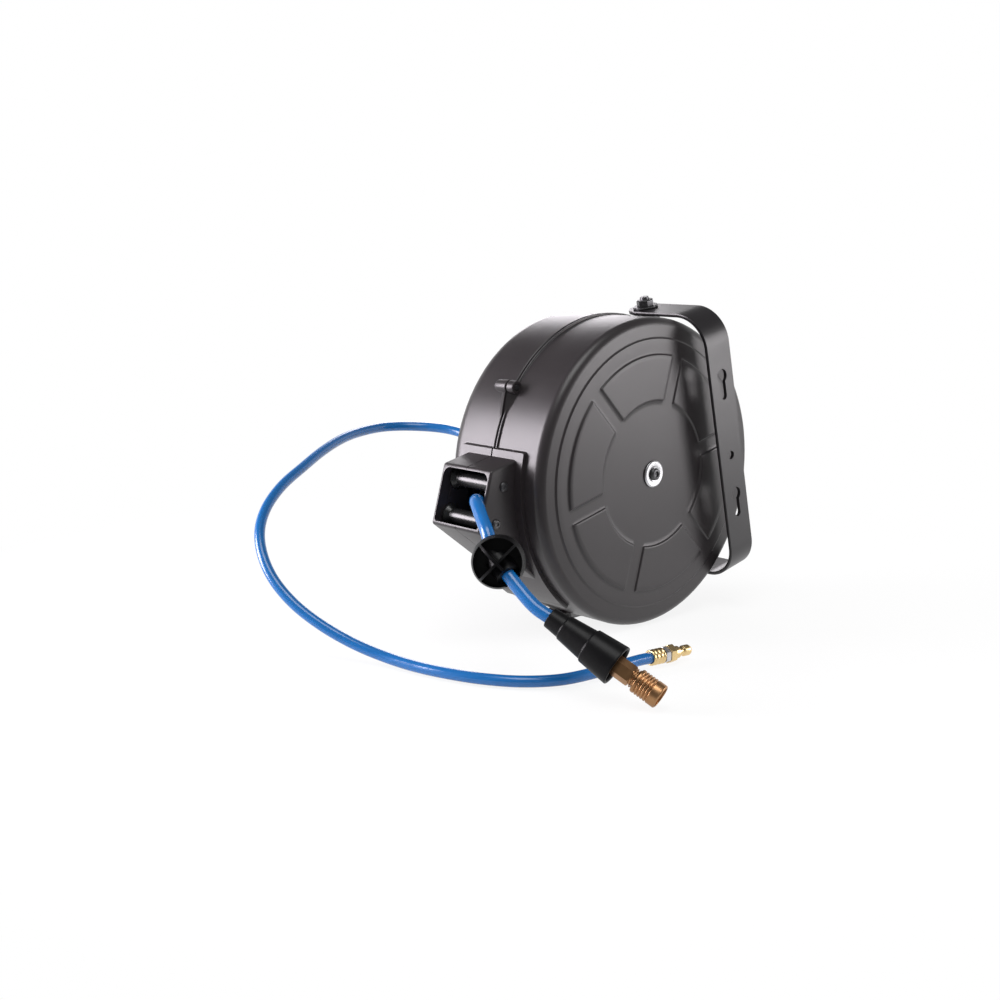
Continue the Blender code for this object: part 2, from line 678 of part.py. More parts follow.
def build_shaft():
    """Fixed hollow shaft, its bolt and washer in front, and the bushes the drum runs on."""
    front = -(CASE_FRONT - CASE_WALL - FACE_RING_DEPTH) + GAP
    rear = CASE_REAR - CASE_WALL - FACE_RING_DEPTH - GAP
    socket = INLET_SHANK_RADIUS + GAP
    socket_floor = CASE_REAR - INLET_SHANK_LENGTH - CASE_WALL - GAP
    bore = SHAFT_BORE + GAP
    profile = [
        (SHAFT_RADIUS, rear), (SHAFT_RADIUS, front), (bore, front), (bore, socket_floor),
        (socket, socket_floor), (socket, rear),
    ]
    shaft = turned("main_shaft", profile, reel, "steel", turn=REARWARD, steps=18)
    port = rod("shaft_port", INLET_BORE, 0, SHAFT_RADIUS + PAST, reel, None,
               (0, (DRUM_WEB + DRUM_REAR) / 2 - 3 * mm, 0), (0, 0, 0), 12)
    cut(shaft, port)
    inner = SHAFT_RADIUS + GAP
    outer = inner + BUSH_WALL - GAP
    front_bush_end = DRUM_FRONT - FLANGE_HUB_REACH
    ring("front_bush", outer, inner, front_bush_end, DRUM_FRONT, reel, "nylon",
         turn=REARWARD, steps=24)
    bush_length = (DRUM_REAR - DRUM_WEB) / 3
    ring("rear_bush", outer, inner, DRUM_REAR - bush_length, DRUM_REAR, reel, "nylon",
         turn=REARWARD, steps=24)
    middle = (inner + outer) / 2
    seal_places = (DRUM_WEB + 3 * SEAL_WIRE, DRUM_REAR - bush_length - 2 * SEAL_WIRE)
    for word, along in zip(("inner", "outer"), seal_places):
        section = arc(middle, along, SEAL_WIRE, 90, -210, 5)
        turned(f"{word}_rotary_seal", section, reel, "rubber", turn=REARWARD, steps=16)
    washer_hole = SHAFT_BORE + GAP
    face = CASE_FRONT + GAP
    washer = [
        (AXLE_WASHER_RADIUS, face + WASHER_WALL * 0.7), (AXLE_WASHER_RADIUS, face),
        (washer_hole, face), (washer_hole, face + WASHER_WALL),
        (AXLE_WASHER_RADIUS - WASHER_WALL * 0.6, face + WASHER_WALL),
    ]
    turned("axle_washer", washer, reel, "steel", turn=FRONTWARD, steps=20)
    head = face + WASHER_WALL + GAP
    bolt_tip = head - AXLE_BOLT_LENGTH
    bolt = rod("axle_bolt", SHAFT_BORE, bolt_tip, head + AXLE_HEAD_HEIGHT / 2, reel,
               "dark_steel", turn=FRONTWARD, steps=16)
    join(bolt, hex_head("axle_bolt_head", AXLE_HEAD_RADIUS, head, head + AXLE_HEAD_HEIGHT,
                        reel, turn=FRONTWARD))


def inlet_ferrule_ends():
    """Where the crimp on the lead hose starts and ends behind the axle."""
    low = CASE_REAR + INLET_HEX_LENGTH + SWIVEL_NUT_LENGTH + 3 * GAP
    return low, low + FERRULE_LENGTH


def build_inlet():
    """Air inlet behind the case: fitting, swivel nut and the crimp on the lead hose."""
    face = CASE_REAR + GAP
    hex_end = face + INLET_HEX_LENGTH
    spigot_end = hex_end + INLET_SPIGOT_LENGTH
    fitting = turned("inlet_fitting", [
        (INLET_SPIGOT_RADIUS, spigot_end), (INLET_SPIGOT_RADIUS, hex_end - 1 * mm),
        (INLET_SHANK_RADIUS, hex_end - 1 * mm),
        (INLET_SHANK_RADIUS, CASE_REAR - INLET_SHANK_LENGTH - CASE_WALL),
        (INLET_BORE, CASE_REAR - INLET_SHANK_LENGTH - CASE_WALL), (INLET_BORE, spigot_end),
    ], reel, "brass", turn=REARWARD, steps=16)
    hexagon_body = hex_head("inlet_hex", INLET_HEX_RADIUS, face, hex_end, reel, turn=REARWARD)
    cut(hexagon_body, rod("inlet_hex_bore", INLET_SHANK_RADIUS - 0.5 * mm, face - PAST,
                          hex_end + PAST, reel, None, turn=REARWARD))
    join(fitting, hexagon_body)
    ferrule_low, ferrule_high = inlet_ferrule_ends()
    nut_low = hex_end + GAP
    nut_high = ferrule_low - GAP
    nut = plate("swivel_nut", hexagon(SWIVEL_NUT_RADIUS), SWIVEL_NUT_LENGTH, reel, "brass",
                (0, (nut_low + nut_high) / 2, 0), REARWARD)
    cut(nut, rod("swivel_nut_bore", INLET_SPIGOT_RADIUS + GAP, nut_low - PAST,
                 nut_high + PAST, reel, None, turn=REARWARD))
    inner = LEAD_RADIUS + GAP
    rib = FERRULE_WALL * 0.35
    ferrule = ribbed_sleeve(inner, FERRULE_WALL, rib, ferrule_low, ferrule_high, 2)
    turned("inlet_ferrule", ferrule, reel, "brass", turn=REARWARD, steps=14)


def ribbed_sleeve(inner, wall, rib, low, high, count):
    """A crimped sleeve: plain bore and shallow rounded waists along the outside."""
    outer = inner + wall
    pitch = (high - low) / (2 * count + 1)
    profile = [(outer, high)]
    for number in range(count):
        top = high - pitch * (2 * number + 1)
        profile += [(outer, top), (outer - rib, top - pitch * 0.3)]
        profile += [(outer - rib, top - pitch * 0.7), (outer, top - pitch)]
    profile += [(outer, low), (inner, low), (inner, high)]
    return profile


def build_drum():
    bore = SHAFT_RADIUS + BUSH_WALL + 2 * GAP
    hub = bore + HUB_WALL
    core_in = CORE_RADIUS - CORE_WALL
    web_rear = DRUM_WEB + WEB_WALL
    turned("drum_hub", [
        (CORE_RADIUS, DRUM_REAR), (CORE_RADIUS, DRUM_FRONT), (core_in, DRUM_FRONT),
        (core_in, DRUM_WEB), (bore, DRUM_WEB), (bore, DRUM_REAR), (hub, DRUM_REAR),
        (hub, web_rear), (core_in, web_rear), (core_in, DRUM_REAR),
    ], reel, "drum_grey", turn=REARWARD, steps=24)
    front_out = DRUM_FRONT - GAP
    front_in = front_out - FLANGE_WALL
    hub_end = DRUM_FRONT - FLANGE_HUB_REACH
    turned("front_drum_flange", [
        (FLANGE_RADIUS, front_out), (FLANGE_RADIUS, front_in), (hub, front_in),
        (hub, hub_end), (bore, hub_end), (bore, front_out),
    ], reel, "drum_grey", turn=REARWARD, steps=FLANGE_STEPS)
    rear_in = DRUM_REAR + GAP
    rear_out = rear_in + FLANGE_WALL
    rear = ring("rear_drum_flange", FLANGE_RADIUS, bore, rear_in, rear_out, reel, "drum_grey",
                turn=REARWARD, steps=FLANGE_STEPS)
    outline = []
    for tooth in range(RATCHET_TEETH):
        angle = 2 * math.pi * tooth / RATCHET_TEETH + TOOTH_FACE_ANGLE
        for radius, lead in ((RATCHET_TIP, TOOTH_FLAT), (RATCHET_TIP, 0), (RATCHET_ROOT, 0)):
            turn_angle = angle - lead * 2 * math.pi / RATCHET_TEETH
            outline.append((radius * math.cos(turn_angle), radius * math.sin(turn_angle)))
    depth = RATCHET_WIDTH + FLANGE_WALL / 2
    ratchet = plate("ratchet_ring", outline, depth, reel, None,
                    (0, rear_out + RATCHET_WIDTH - depth / 2, 0), FRONTWARD)
    cut(ratchet, rod("ratchet_bore", RATCHET_ROOT - 5 * mm, 0, CASE_REAR, reel, None,
                     turn=REARWARD))
    join(rear, ratchet)
    arbor_in = SHAFT_RADIUS + GAP
    arbor_low = DRUM_WEB - GAP - SPRING_WIDTH
    arbor_out = arbor_in + ARBOR_WALL
    ring("spring_arbor", arbor_out, arbor_in, arbor_low, DRUM_WEB - GAP, reel, "steel",
         turn=REARWARD, steps=24)
    spiral = []
    count = SPRING_POINTS * SPRING_TURNS
    inner = (arbor_out + GAP) / math.cos(math.pi / SPRING_POINTS) + SPRING_STRIP / 2
    outer = core_in - 2 * GAP - SPRING_STRIP / 2
    for step in range(count + 1):
        spiral.append((inner + (outer - inner) * step / count, 2 * math.pi * step / SPRING_POINTS))
    band = []
    for offset, run in ((SPRING_STRIP / 2, spiral), (-SPRING_STRIP / 2, reversed(spiral))):
        for radius, angle in run:
            reach = radius + offset
            band.append((reach * math.cos(angle), reach * math.sin(angle)))
    plate("power_spring", band, SPRING_WIDTH - 2 * GAP, reel, "dark_steel",
          (0, DRUM_WEB - GAP - SPRING_WIDTH / 2, 0), FRONTWARD)


def build_pawl():
    """Latch pawl on a pin in the rear wall, at rest just clear of the ratchet."""
    pivot = polar_point(PAWL_PIVOT_RADIUS, PAWL_ANGLE)
    middle = DRUM_REAR + GAP + FLANGE_WALL + RATCHET_WIDTH / 2
    frame = empty("pawl_axis", reel, (pivot[0], middle, pivot[2]))
    lever = PAWL_ANGLE + math.pi + PAWL_LEAN
    tip = Vector((math.cos(lever), math.sin(lever))) * PAWL_ARM
    shoulder = tip * 0.8
    side = tip.normalized().orthogonal() * PAWL_HALF_WIDTH
    outline = arc(0, 0, PAWL_EYE_RADIUS, math.degrees(lever) + 60, math.degrees(lever) + 300, 10)
    outline += [tuple(shoulder - side), tuple(tip), tuple(shoulder + side)]
    pawl = plate("pawl", outline, PAWL_WIDTH, frame, "steel", turn=FRONTWARD)
    cut(pawl, rod("pawl_hole", PAWL_PIN_RADIUS + GAP, -PAST, PAST, frame, None,
                  turn=FRONTWARD, steps=16))
    wall = CASE_REAR - CASE_WALL - FACE_RING_DEPTH - GAP - middle
    rod("pawl_pin", PAWL_PIN_RADIUS, -PAWL_WIDTH / 2, wall, frame, "steel", turn=REARWARD,
        steps=16)
    radius = PAWL_PIN_RADIUS + GAP + PAWL_SPRING_WIRE
    start = PAWL_WIDTH / 2 + GAP + PAWL_SPRING_WIRE
    pitch = 2 * PAWL_SPRING_WIRE + GAP
    coil_spring("pawl_spring", radius, PAWL_SPRING_WIRE, PAWL_SPRING_TURNS, start,
                start + pitch * PAWL_SPRING_TURNS, frame, REARWARD)


def coil_spring(name, radius, wire, turns, low, high, parent, turn=(0, 0, 0)):
    points = []
    count = COIL_POINTS * turns
    for step in range(count + 1):
        angle = 2 * math.pi * step / COIL_POINTS
        along = low + (high - low) * step / count
        points.append((radius * math.cos(angle), radius * math.sin(angle), along))
    return tube(name, points, wire, parent, "steel", 0, turn=turn)


def build_winding():
    """Inner layers as one plain core, and the outer layer as one unbroken tube."""
    step = 2 * HOSE_RADIUS + GAP
    width = WINDING_LOOPS * HOSE_PITCH + 2 * HOSE_RADIUS
    middle = (DRUM_FRONT + DRUM_REAR) / 2
    core_out = CORE_RADIUS + GAP + step * (WINDING_LAYERS - 1)
    ring("inner_hose_layers", core_out, CORE_RADIUS + GAP, middle - width / 2,
         middle + width / 2, reel, "blue_hose", turn=REARWARD, steps=32)
    radius = (core_out + GAP + HOSE_RADIUS) / math.cos(math.pi / WINDING_POINTS)
    start = middle - WINDING_LOOPS * HOSE_PITCH / 2
    points = []
    for index in range(WINDING_LOOPS * WINDING_POINTS + 1):
        angle = 2 * math.pi * index / WINDING_POINTS
        along = start + HOSE_PITCH * index / WINDING_POINTS
        points.append(Vector((radius * math.cos(angle), along, radius * math.sin(angle))))
    least = min((points[i] - points[k]).length
                for i in range(len(points))
                for k in range(i + WINDING_POINTS // 2, len(points)))
    print(f"outer hose layer: least gap to itself {(least - 2 * HOSE_RADIUS) / mm:.2f} mm")
    tube("outer_hose_layer", points, HOSE_RADIUS, reel, "blue_hose", 1)


def build_bracket():
    centre = bracket_frame()[1]
    frame = empty("bracket_axis", reel, centre, (0, -BRACKET_TURN, 0))
    half = STRAP_WALL / 2
    end = STRAP_WIDTH / 2 + 1 * mm
    outer = BRACKET_DEPTH + half
    level = BRACKET_ARM_LEVEL + half
    bend = STRAP_BEND
    outline = [(-end, level)]
    outline += arc(outer - bend, level - bend, bend, 90, 0, 6)
    outline += arc(outer - bend, bend - level, bend, 0, -90, 6)
    outline += [(-end, -level), (-end, STRAP_WALL - level)]
    outline += arc(outer - bend, bend - level, bend - STRAP_WALL, -90, 0, 6)
    outline += arc(outer - bend, level - bend, bend - STRAP_WALL, 0, 90, 6)
    outline += [(-end, level - STRAP_WALL)]
    sideways = Matrix(((0, 0, -1), (-1, 0, 0), (0, 1, 0))).to_euler()
    strap = plate("bracket_strap", outline, STRAP_WIDTH, frame, "strap_black", turn=sideways)
    plan = arc(0, 0, STRAP_WIDTH / 2, 90, 270, 10)
    plan += [(outer + PAST, -STRAP_WIDTH), (outer + PAST, STRAP_WIDTH)]
    plan = [(x, max(-STRAP_WIDTH / 2 - PAST * (x > 0), min(y, STRAP_WIDTH / 2 + PAST * (x > 0))))
            for x, y in plan]
    across = Matrix(((0, 1, 0), (-1, 0, 0), (0, 0, 1))).to_euler()
    ends = plate("strap_plan", plan, 3 * BRACKET_ARM_LEVEL, frame, None, turn=across)
    combine(strap, ends, "INTERSECT")
    for side in (1, -1):
        cut(strap, rod(f"strap_pivot_hole_{side}", PIVOT_BOLT_RADIUS + GAP,
                       BRACKET_ARM_LEVEL - PAST, BRACKET_ARM_LEVEL + PAST, frame, None,
                       turn=turn_to((0, 0, side)), steps=20))
    hole = arc(0, 0, STRAP_HOLE_RADIUS, 0, 345, 15)
    face_place = (0, -BRACKET_DEPTH, 0)
    cut(strap, plate("strap_hole", [(x, y + STRAP_HOLE_LEVEL) for x, y in hole],
                     3 * STRAP_WALL, frame, None, face_place, FRONTWARD))
    neck = math.degrees(math.asin(KEYHOLE_SLOT_RADIUS / KEYHOLE_RADIUS))
    for number, top in enumerate(KEYHOLE_LEVELS):
        keyhole = arc(0, top, KEYHOLE_RADIUS, -90 + neck, 270 - neck, 16)
        keyhole += arc(0, top - KEYHOLE_LENGTH, KEYHOLE_SLOT_RADIUS, 180, 360, 8)
        cut(strap, plate(f"keyhole_{number}", keyhole, 3 * STRAP_WALL, frame, None,
                         face_place, FRONTWARD))
    for word, side in (("upper", 1), ("lower", -1)):
        out = turn_to((0, 0, side))
        seat = BRACKET_ARM_LEVEL + STRAP_WALL / 2 + GAP
        ring(f"{word}_pivot_washer", PIVOT_HEAD_RADIUS + WASHER_OVERHANG,
             PIVOT_BOLT_RADIUS + GAP, seat, seat + WASHER_WALL, frame, "dark_steel",
             turn=out, steps=20)
        head = seat + WASHER_WALL + GAP
        bolt = rod(f"{word}_pivot_bolt", PIVOT_BOLT_RADIUS, head - PIVOT_BOLT_LENGTH,
                   head + PIVOT_HEAD_HEIGHT / 2, frame, "dark_steel", turn=out, steps=16)
        join(bolt, hex_head(f"{word}_pivot_head", PIVOT_HEAD_RADIUS, head,
                            head + PIVOT_HEAD_HEIGHT, frame, turn=out))


def floor_points(route):
    return [(x * mm, y * mm, z * mm) for x, y, z in route]


def coupler_axis():
    return Vector(COUPLER_START) * mm, Vector(COUPLER_DIRECTION).normalized()


def build_working_hose():
    """The run from the drum through the rollers and the hose stop to the coupler."""
    route = floor_points(WORKING_ROUTE)
    start, direction = coupler_axis()
    centre = Vector(STOP_CENTRE) * mm
    along = Vector(STOP_DIRECTION).normalized()
    route += [centre + along * reach for reach in STOP_STRAIGHT]
    route += [start - direction * COUPLER_LEAD_IN, start, start + direction * HOSE_INSERT]
    points, length = spline_points(route, HOSE_SPACING)
    tube("working_hose", points, HOSE_RADIUS, floor_frame, "blue_hose", 3)
    print(f"working hose outside the drum: {length:.3f} m")
    for number, side in enumerate((1, -1)):
        stop_half(number, centre, along, side)


def stop_half(number, centre, along, side):
    """Half of the ball that stops the hose at the mouth, clamped round the hose."""
    name = f"hose_stop_half_{number + 1}"
    bore = HOSE_RADIUS + STOP_HOSE_GAP
    arc_start = math.degrees(math.asin(bore / STOP_RADIUS))
    collar = math.degrees(math.asin(STOP_COLLAR_RADIUS / STOP_RADIUS))
    low = -STOP_RADIUS * math.cos(math.radians(collar)) - STOP_COLLAR_REACH
    profile = arc(0, 0, STOP_RADIUS, 90 - arc_start, collar - 90, 8)
    profile += [(STOP_COLLAR_RADIUS, low), (bore, low)]
    half = turned(name, profile, floor_frame, "rubber", centre, turn_to(along * -1), 24)
    size = 4 * STOP_RADIUS
    mesh = bpy.data.meshes.new(name + "_split")
    box = bmesh.new()
    bmesh.ops.create_cube(box, size=size)
    bmesh.ops.translate(box, vec=(side * (size / 2 - SEAM_GAP), 0, 0), verts=box.verts)
    box.to_mesh(mesh)
    box.free()
    cut(half, add(name + "_split", mesh, floor_frame, None, centre, turn_to(along * -1)))


def build_coupler():
    """Boot, crimp, tail, body, sliding sleeve, locking balls and valve on one axis."""
    start, direction = coupler_axis()
    frame = empty("coupler_axis", floor_frame, start, turn_to(direction))
    build_boot(frame)
    tail_low = HOSE_INSERT + GAP
    tail_high = tail_low + TAIL_HEX_LENGTH
    spigot_end = tail_high + TAIL_SPIGOT_LENGTH
    spigot = BODY_CHAMBER - GAP
    tail = turned("coupler_tail", [
        (spigot, spigot_end), (spigot, tail_low), (INLET_BORE, tail_low), (INLET_BORE, spigot_end),
    ], frame, "brass", steps=14)
    tail_hex = hex_head("tail_hex", TAIL_HEX_RADIUS, tail_low, tail_high, frame)
    cut(tail_hex, rod("tail_hex_bore", spigot - 0.5 * mm, 0, BOOT_LENGTH, frame, None))
    join(tail, tail_hex)
    body_low = tail_high + GAP
    hex_end = body_low + BODY_HEX_LENGTH
    sleeve_low = hex_end + SLEEVE_TRAVEL + GAP
    sleeve_high = sleeve_low + SLEEVE_LENGTH
    body_high = sleeve_high - RETAINER_SETBACK
    seat_high = body_high - SOCKET_DEPTH
    build_coupler_body(frame, body_low, hex_end, body_high, seat_high)
    build_sleeve(frame, sleeve_low, sleeve_high, body_high, hex_end)
    build_valve(frame, spigot_end, seat_high)


def build_boot(frame):
    bore = HOSE_RADIUS + GAP
    profile = [(BOOT_STEPS[2][0] - 1 * mm, BOOT_LENGTH), (BOOT_STEPS[2][0], BOOT_LENGTH - 1.5 * mm)]
    profile += [(BOOT_STEPS[2][0], BOOT_STEPS[1][1]), (BOOT_STEPS[1][0], BOOT_STEPS[1][1] - 1 * mm)]
    profile += [(BOOT_STEPS[1][0], BOOT_STEPS[0][1]), (BOOT_STEPS[0][0], BOOT_STEPS[0][1] - 1 * mm)]
    profile += [(BOOT_STEPS[0][0] - 1.5 * mm, 0), (bore, 0), (bore, BOOT_CAVITY_START)]
    ferrule = HOSE_RADIUS + GAP + FERRULE_WALL + GAP
    profile += [(ferrule, BOOT_CAVITY_START), (ferrule, BOOT_STEPS[0][1])]
    profile += [(BOOT_STEPS[0][0] - 1 * mm, BOOT_STEPS[0][1] + 1 * mm)]
    profile += [(BOOT_STEPS[0][0] - 1 * mm, HOSE_INSERT - 2 * mm)]
    profile += [(BOOT_CAVITY_RADIUS, BOOT_STEPS[1][1]), (BOOT_CAVITY_RADIUS, BOOT_LENGTH)]
    turned("coupler_boot", profile, frame, "rubber", steps=18)
    low = HOSE_INSERT - TAIL_FERRULE_LENGTH
    ring("coupler_ferrule", HOSE_RADIUS + GAP + FERRULE_WALL, HOSE_RADIUS + GAP, low, HOSE_INSERT,
         frame, "brass", steps=20)


def build_coupler_body(frame, low, hex_end, high, seat_high):
    seat_low = seat_high - SEAT_WALL
    groove = SOCKET_BORE + SEAL_GROOVE
    groove_low = seat_high + 1 * mm
    groove_high = groove_low + SEAL_GROOVE_WIDTH
    body = turned("coupler_body", [
        (BODY_RADIUS, high), (BODY_RADIUS, low), (BODY_CHAMBER, low), (BODY_CHAMBER, seat_low),
        (SEAT_BORE, seat_low), (SEAT_BORE, seat_high), (SOCKET_BORE, seat_high),
        (SOCKET_BORE, groove_low), (groove, groove_low), (groove, groove_high),
        (SOCKET_BORE, groove_high), (SOCKET_BORE, high),
    ], frame, "bronze", steps=16)
    body_hex = hex_head("body_hex", BODY_HEX_RADIUS, low, hex_end, frame)
    cut(body_hex, rod("body_hex_bore", BODY_RADIUS - 0.5 * mm, 0, high, frame, None))
    join(body, body_hex)
    section = arc(groove - SEAL_GROOVE_WIDTH / 2 + GAP, (groove_low + groove_high) / 2,
                  SEAL_GROOVE_WIDTH / 2 - 2 * GAP, 90, -210, 5)
    turned("socket_seal", section, frame, "rubber", steps=14)
    level = high - BALL_SETBACK
    rest = SOCKET_BORE + BALL_RADIUS - BALL_REACH
    for number in range(BALL_COUNT):
        angle = 2 * math.pi * (number + 0.5) / BALL_COUNT
        out = Vector((math.cos(angle), math.sin(angle), 0))
        hole = rod(f"ball_hole_{number}", BALL_RADIUS + GAP, SOCKET_BORE * 0.5,
                   BODY_RADIUS + PAST, frame, None, (0, 0, level), turn_to(out), 8)
        cut(body, hole)
        ball = bpy.data.meshes.new(f"locking_ball_{number + 1}")
        work = bmesh.new()
        bmesh.ops.create_uvsphere(work, u_segments=8, v_segments=5, radius=BALL_RADIUS)
        work.to_mesh(ball)
        work.free()
        ball.shade_smooth()
        add(f"locking_ball_{number + 1}", ball, frame, "steel", out * rest + Vector((0, 0, level)))


def build_sleeve(frame, low, high, body_high, hex_end):
    """Ribbed release sleeve: spring pocket behind, ball groove and retainer recess in front."""
    bore = BODY_RADIUS + GAP
    pocket_end = low + SLEEVE_POCKET_LENGTH
    ball_level = body_high - BALL_SETBACK
    groove_low = ball_level + BALL_RADIUS + 0.5 * mm
    groove_high = groove_low + SLEEVE_TRAVEL
    groove = bore + BALL_TRAVEL
    retainer_low = body_high - RETAINER_SETBACK - RETAINER_WALL
    recess = BODY_RADIUS + RETAINER_HEIGHT + GAP
    recess_low = retainer_low - GAP
    profile = [(SLEEVE_RADIUS - 1 * mm, high), (SLEEVE_RADIUS, high - 1 * mm)]
    for number in range(SLEEVE_RIBS):
        top = high - RIB_START - RIB_PITCH * number
        profile += [(SLEEVE_RADIUS, top), (SLEEVE_RADIUS - RIB_DEPTH, top - RIB_PITCH * 0.25)]
        profile += [(SLEEVE_RADIUS, top - RIB_PITCH * 0.5)]
    profile += [(SLEEVE_RADIUS, low + 1 * mm), (SLEEVE_RADIUS - 1 * mm, low)]
    profile += [(SLEEVE_POCKET, low), (SLEEVE_POCKET, pocket_end), (bore, pocket_end)]
    profile += [(bore, groove_low), (groove, groove_low + 0.6 * mm), (groove, groove_high)]
    profile += [(bore, groove_high + 0.6 * mm), (bore, recess_low), (recess, recess_low)]
    profile += [(recess, high)]
    turned("coupler_sleeve", profile, frame, "bronze", steps=16)
    ring("sleeve_retainer", BODY_RADIUS + RETAINER_HEIGHT, BODY_RADIUS + GAP / 2, retainer_low,
         retainer_low + RETAINER_WALL, frame, "steel", steps=24)
    wire = SLEEVE_SPRING_WIRE
    coil_spring("sleeve_spring", (BODY_RADIUS + SLEEVE_POCKET + GAP) / 2, wire, SLEEVE_SPRING_TURNS,
                hex_end + wire + GAP, pocket_end - wire - GAP, frame)


def build_valve(frame, spigot_end, seat_high):
    disc_high = seat_high - SEAT_WALL - GAP
    disc_low = disc_high - VALVE_DISC
    nose = disc_high + VALVE_NOSE_LENGTH
    turned("check_valve", [
        (0, nose), (VALVE_NOSE_RADIUS, nose - 0.6 * mm), (VALVE_NOSE_RADIUS, disc_high),
        (VALVE_RADIUS, disc_high), (VALVE_RADIUS, disc_low), (VALVE_STEM_RADIUS, disc_low),
        (VALVE_STEM_RADIUS, disc_low - VALVE_STEM_LENGTH), (0, disc_low - VALVE_STEM_LENGTH),
    ], frame, "brass", steps=12)
    wire = VALVE_SPRING_WIRE
    coil_spring("valve_spring", VALVE_RADIUS - 2 * wire, wire, VALVE_SPRING_TURNS,
                spigot_end + wire + GAP, disc_low - wire - GAP, frame)


def build_lead():
    """Lead hose from the rear inlet round to its plug on the floor."""
    low, high = inlet_ferrule_ends()
    straight = (low + GAP, high, high + LEAD_STRAIGHT)
    route = [Vector((0, along, FLOOR_TO_AXLE)) for along in straight]
    route += floor_points(LEAD_ROUTE)
    end = Vector(LEAD_END) * mm
    direction = Vector(LEAD_END_DIRECTION).normalized()
    route += [end - direction * back for back in LEAD_END_STRAIGHT]
    points, length = spline_points(route, LEAD_SPACING)
    tube("lead_hose", points, LEAD_RADIUS, floor_frame, "blue_hose", 2)
    print(f"lead hose: {length:.3f} m")
    frame = empty("plug_axis", floor_frame, end, turn_to(direction))
    inner = LEAD_RADIUS + GAP
    turned("plug_ferrule", ribbed_sleeve(inner, FERRULE_WALL, FERRULE_WALL * 0.35,
                                         -PLUG_FERRULE_LENGTH, 0, 2), frame, "brass", steps=14)
    hex_low = GAP
    hex_high = hex_low + PLUG_HEX_LENGTH
    nose = hex_high + PLUG_NOSE_LENGTH
    plug = turned("lead_plug", [
        (PLUG_NOSE_RADIUS - 1 * mm, nose), (PLUG_NOSE_RADIUS, nose - 2 * mm),
        (PLUG_NOSE_RADIUS, nose - 8 * mm), (PLUG_NOSE_RADIUS - 1.2 * mm, nose - 9 * mm),
        (PLUG_NOSE_RADIUS - 1.2 * mm, nose - 13 * mm), (PLUG_NECK_RADIUS, nose - 14 * mm),
        (PLUG_NECK_RADIUS, hex_low), (PLUG_BORE, hex_low), (PLUG_BORE, nose),
    ], frame, "brass", steps=14)
    plug_hex = hex_head("plug_hex", PLUG_HEX_RADIUS, hex_low, hex_high, frame)
    cut(plug_hex, rod("plug_hex_bore", PLUG_NECK_RADIUS - 0.5 * mm, -PAST, nose, frame, None))
    join(plug, plug_hex)


build_case()
build_rollers()
build_shaft()
build_inlet()
build_drum()
build_pawl()
build_winding()
build_bracket()
build_working_hose()
build_coupler()
build_lead()
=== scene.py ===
"""Looks of a retractable air hose reel with a quick disconnect coupler on its hose.

Lengths are millimetres in each piece's own frame; a frame matrix carries them to world metres.
"""

import json
import math

import bmesh
import bpy
import numpy as np
from mathutils import Matrix


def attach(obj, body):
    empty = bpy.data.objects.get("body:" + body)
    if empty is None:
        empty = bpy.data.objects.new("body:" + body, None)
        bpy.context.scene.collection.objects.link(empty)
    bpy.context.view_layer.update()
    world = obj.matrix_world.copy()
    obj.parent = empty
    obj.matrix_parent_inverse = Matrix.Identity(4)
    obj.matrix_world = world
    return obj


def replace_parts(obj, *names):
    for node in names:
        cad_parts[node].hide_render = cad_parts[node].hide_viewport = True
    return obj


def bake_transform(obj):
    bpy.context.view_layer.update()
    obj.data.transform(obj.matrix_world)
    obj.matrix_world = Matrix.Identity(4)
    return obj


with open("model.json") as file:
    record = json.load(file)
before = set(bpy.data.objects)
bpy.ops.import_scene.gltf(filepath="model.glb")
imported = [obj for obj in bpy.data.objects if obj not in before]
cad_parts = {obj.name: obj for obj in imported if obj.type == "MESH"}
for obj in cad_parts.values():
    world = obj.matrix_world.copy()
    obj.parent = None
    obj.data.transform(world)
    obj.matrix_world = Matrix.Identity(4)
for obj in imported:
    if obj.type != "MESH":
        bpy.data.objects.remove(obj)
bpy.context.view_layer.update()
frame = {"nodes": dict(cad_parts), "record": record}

MM = 0.001
SHARP_ANGLE = math.radians(32)

# Case, turned about the axle
AXLE = np.array((19.6, -12.6, 151.353))
FLOOR_AXLE = np.array((AXLE[0], AXLE[1], 0.0))
ROLL = math.radians(15.6)
CASE_RADIUS = 150.0
CASE_FRONT = 64.0
CASE_REAR = 66.0
CASE_WALL = 3.5
FACE_WALL = 4.9
FRONT_HOLE = 4.8
REAR_HOLE = 8.3
LIP = 1.8
LIP_WIDTH = 3.0
SEAM = 0.15
GROOVE = 0.9
FRONT_RIM = 9.0
REAR_RIM = 16.0
INNER_RIM = 12.5
RING_STEP = 130.5
RING_DROP = 1.4
PANEL_INNER = 71.0
PANEL_OUTER = 115.0
PANEL_LIFT = 1.6
SPOKE_HALF = 7.4
BOSS_CIRCLE = 155.4
BOSS_ANGLES = (161, 263, 30)

# Hose mouth and its rollers
MOUTH_X = -180.0
MOUTH_Z = -59.0
MOUTH_HEIGHT = 57.0
MOUTH_WIDTH = 66.5
MOUTH_WALL = 3.0
MOUTH_RIM = 2.8
ROLLER_X = -162.0
ROLLER_LEVELS = (-41.75, -76.25)

# Swing bracket
BRACKET_TURN = math.radians(28.6)
BRACKET_OFFSET = 90.0
ARM_LEVEL = 136.5
STRAP_DEPTH = 86.0
STRAP_WIDTH = 34.0
STRAP_WALL = 3.5
STRAP_BEND = 32.25

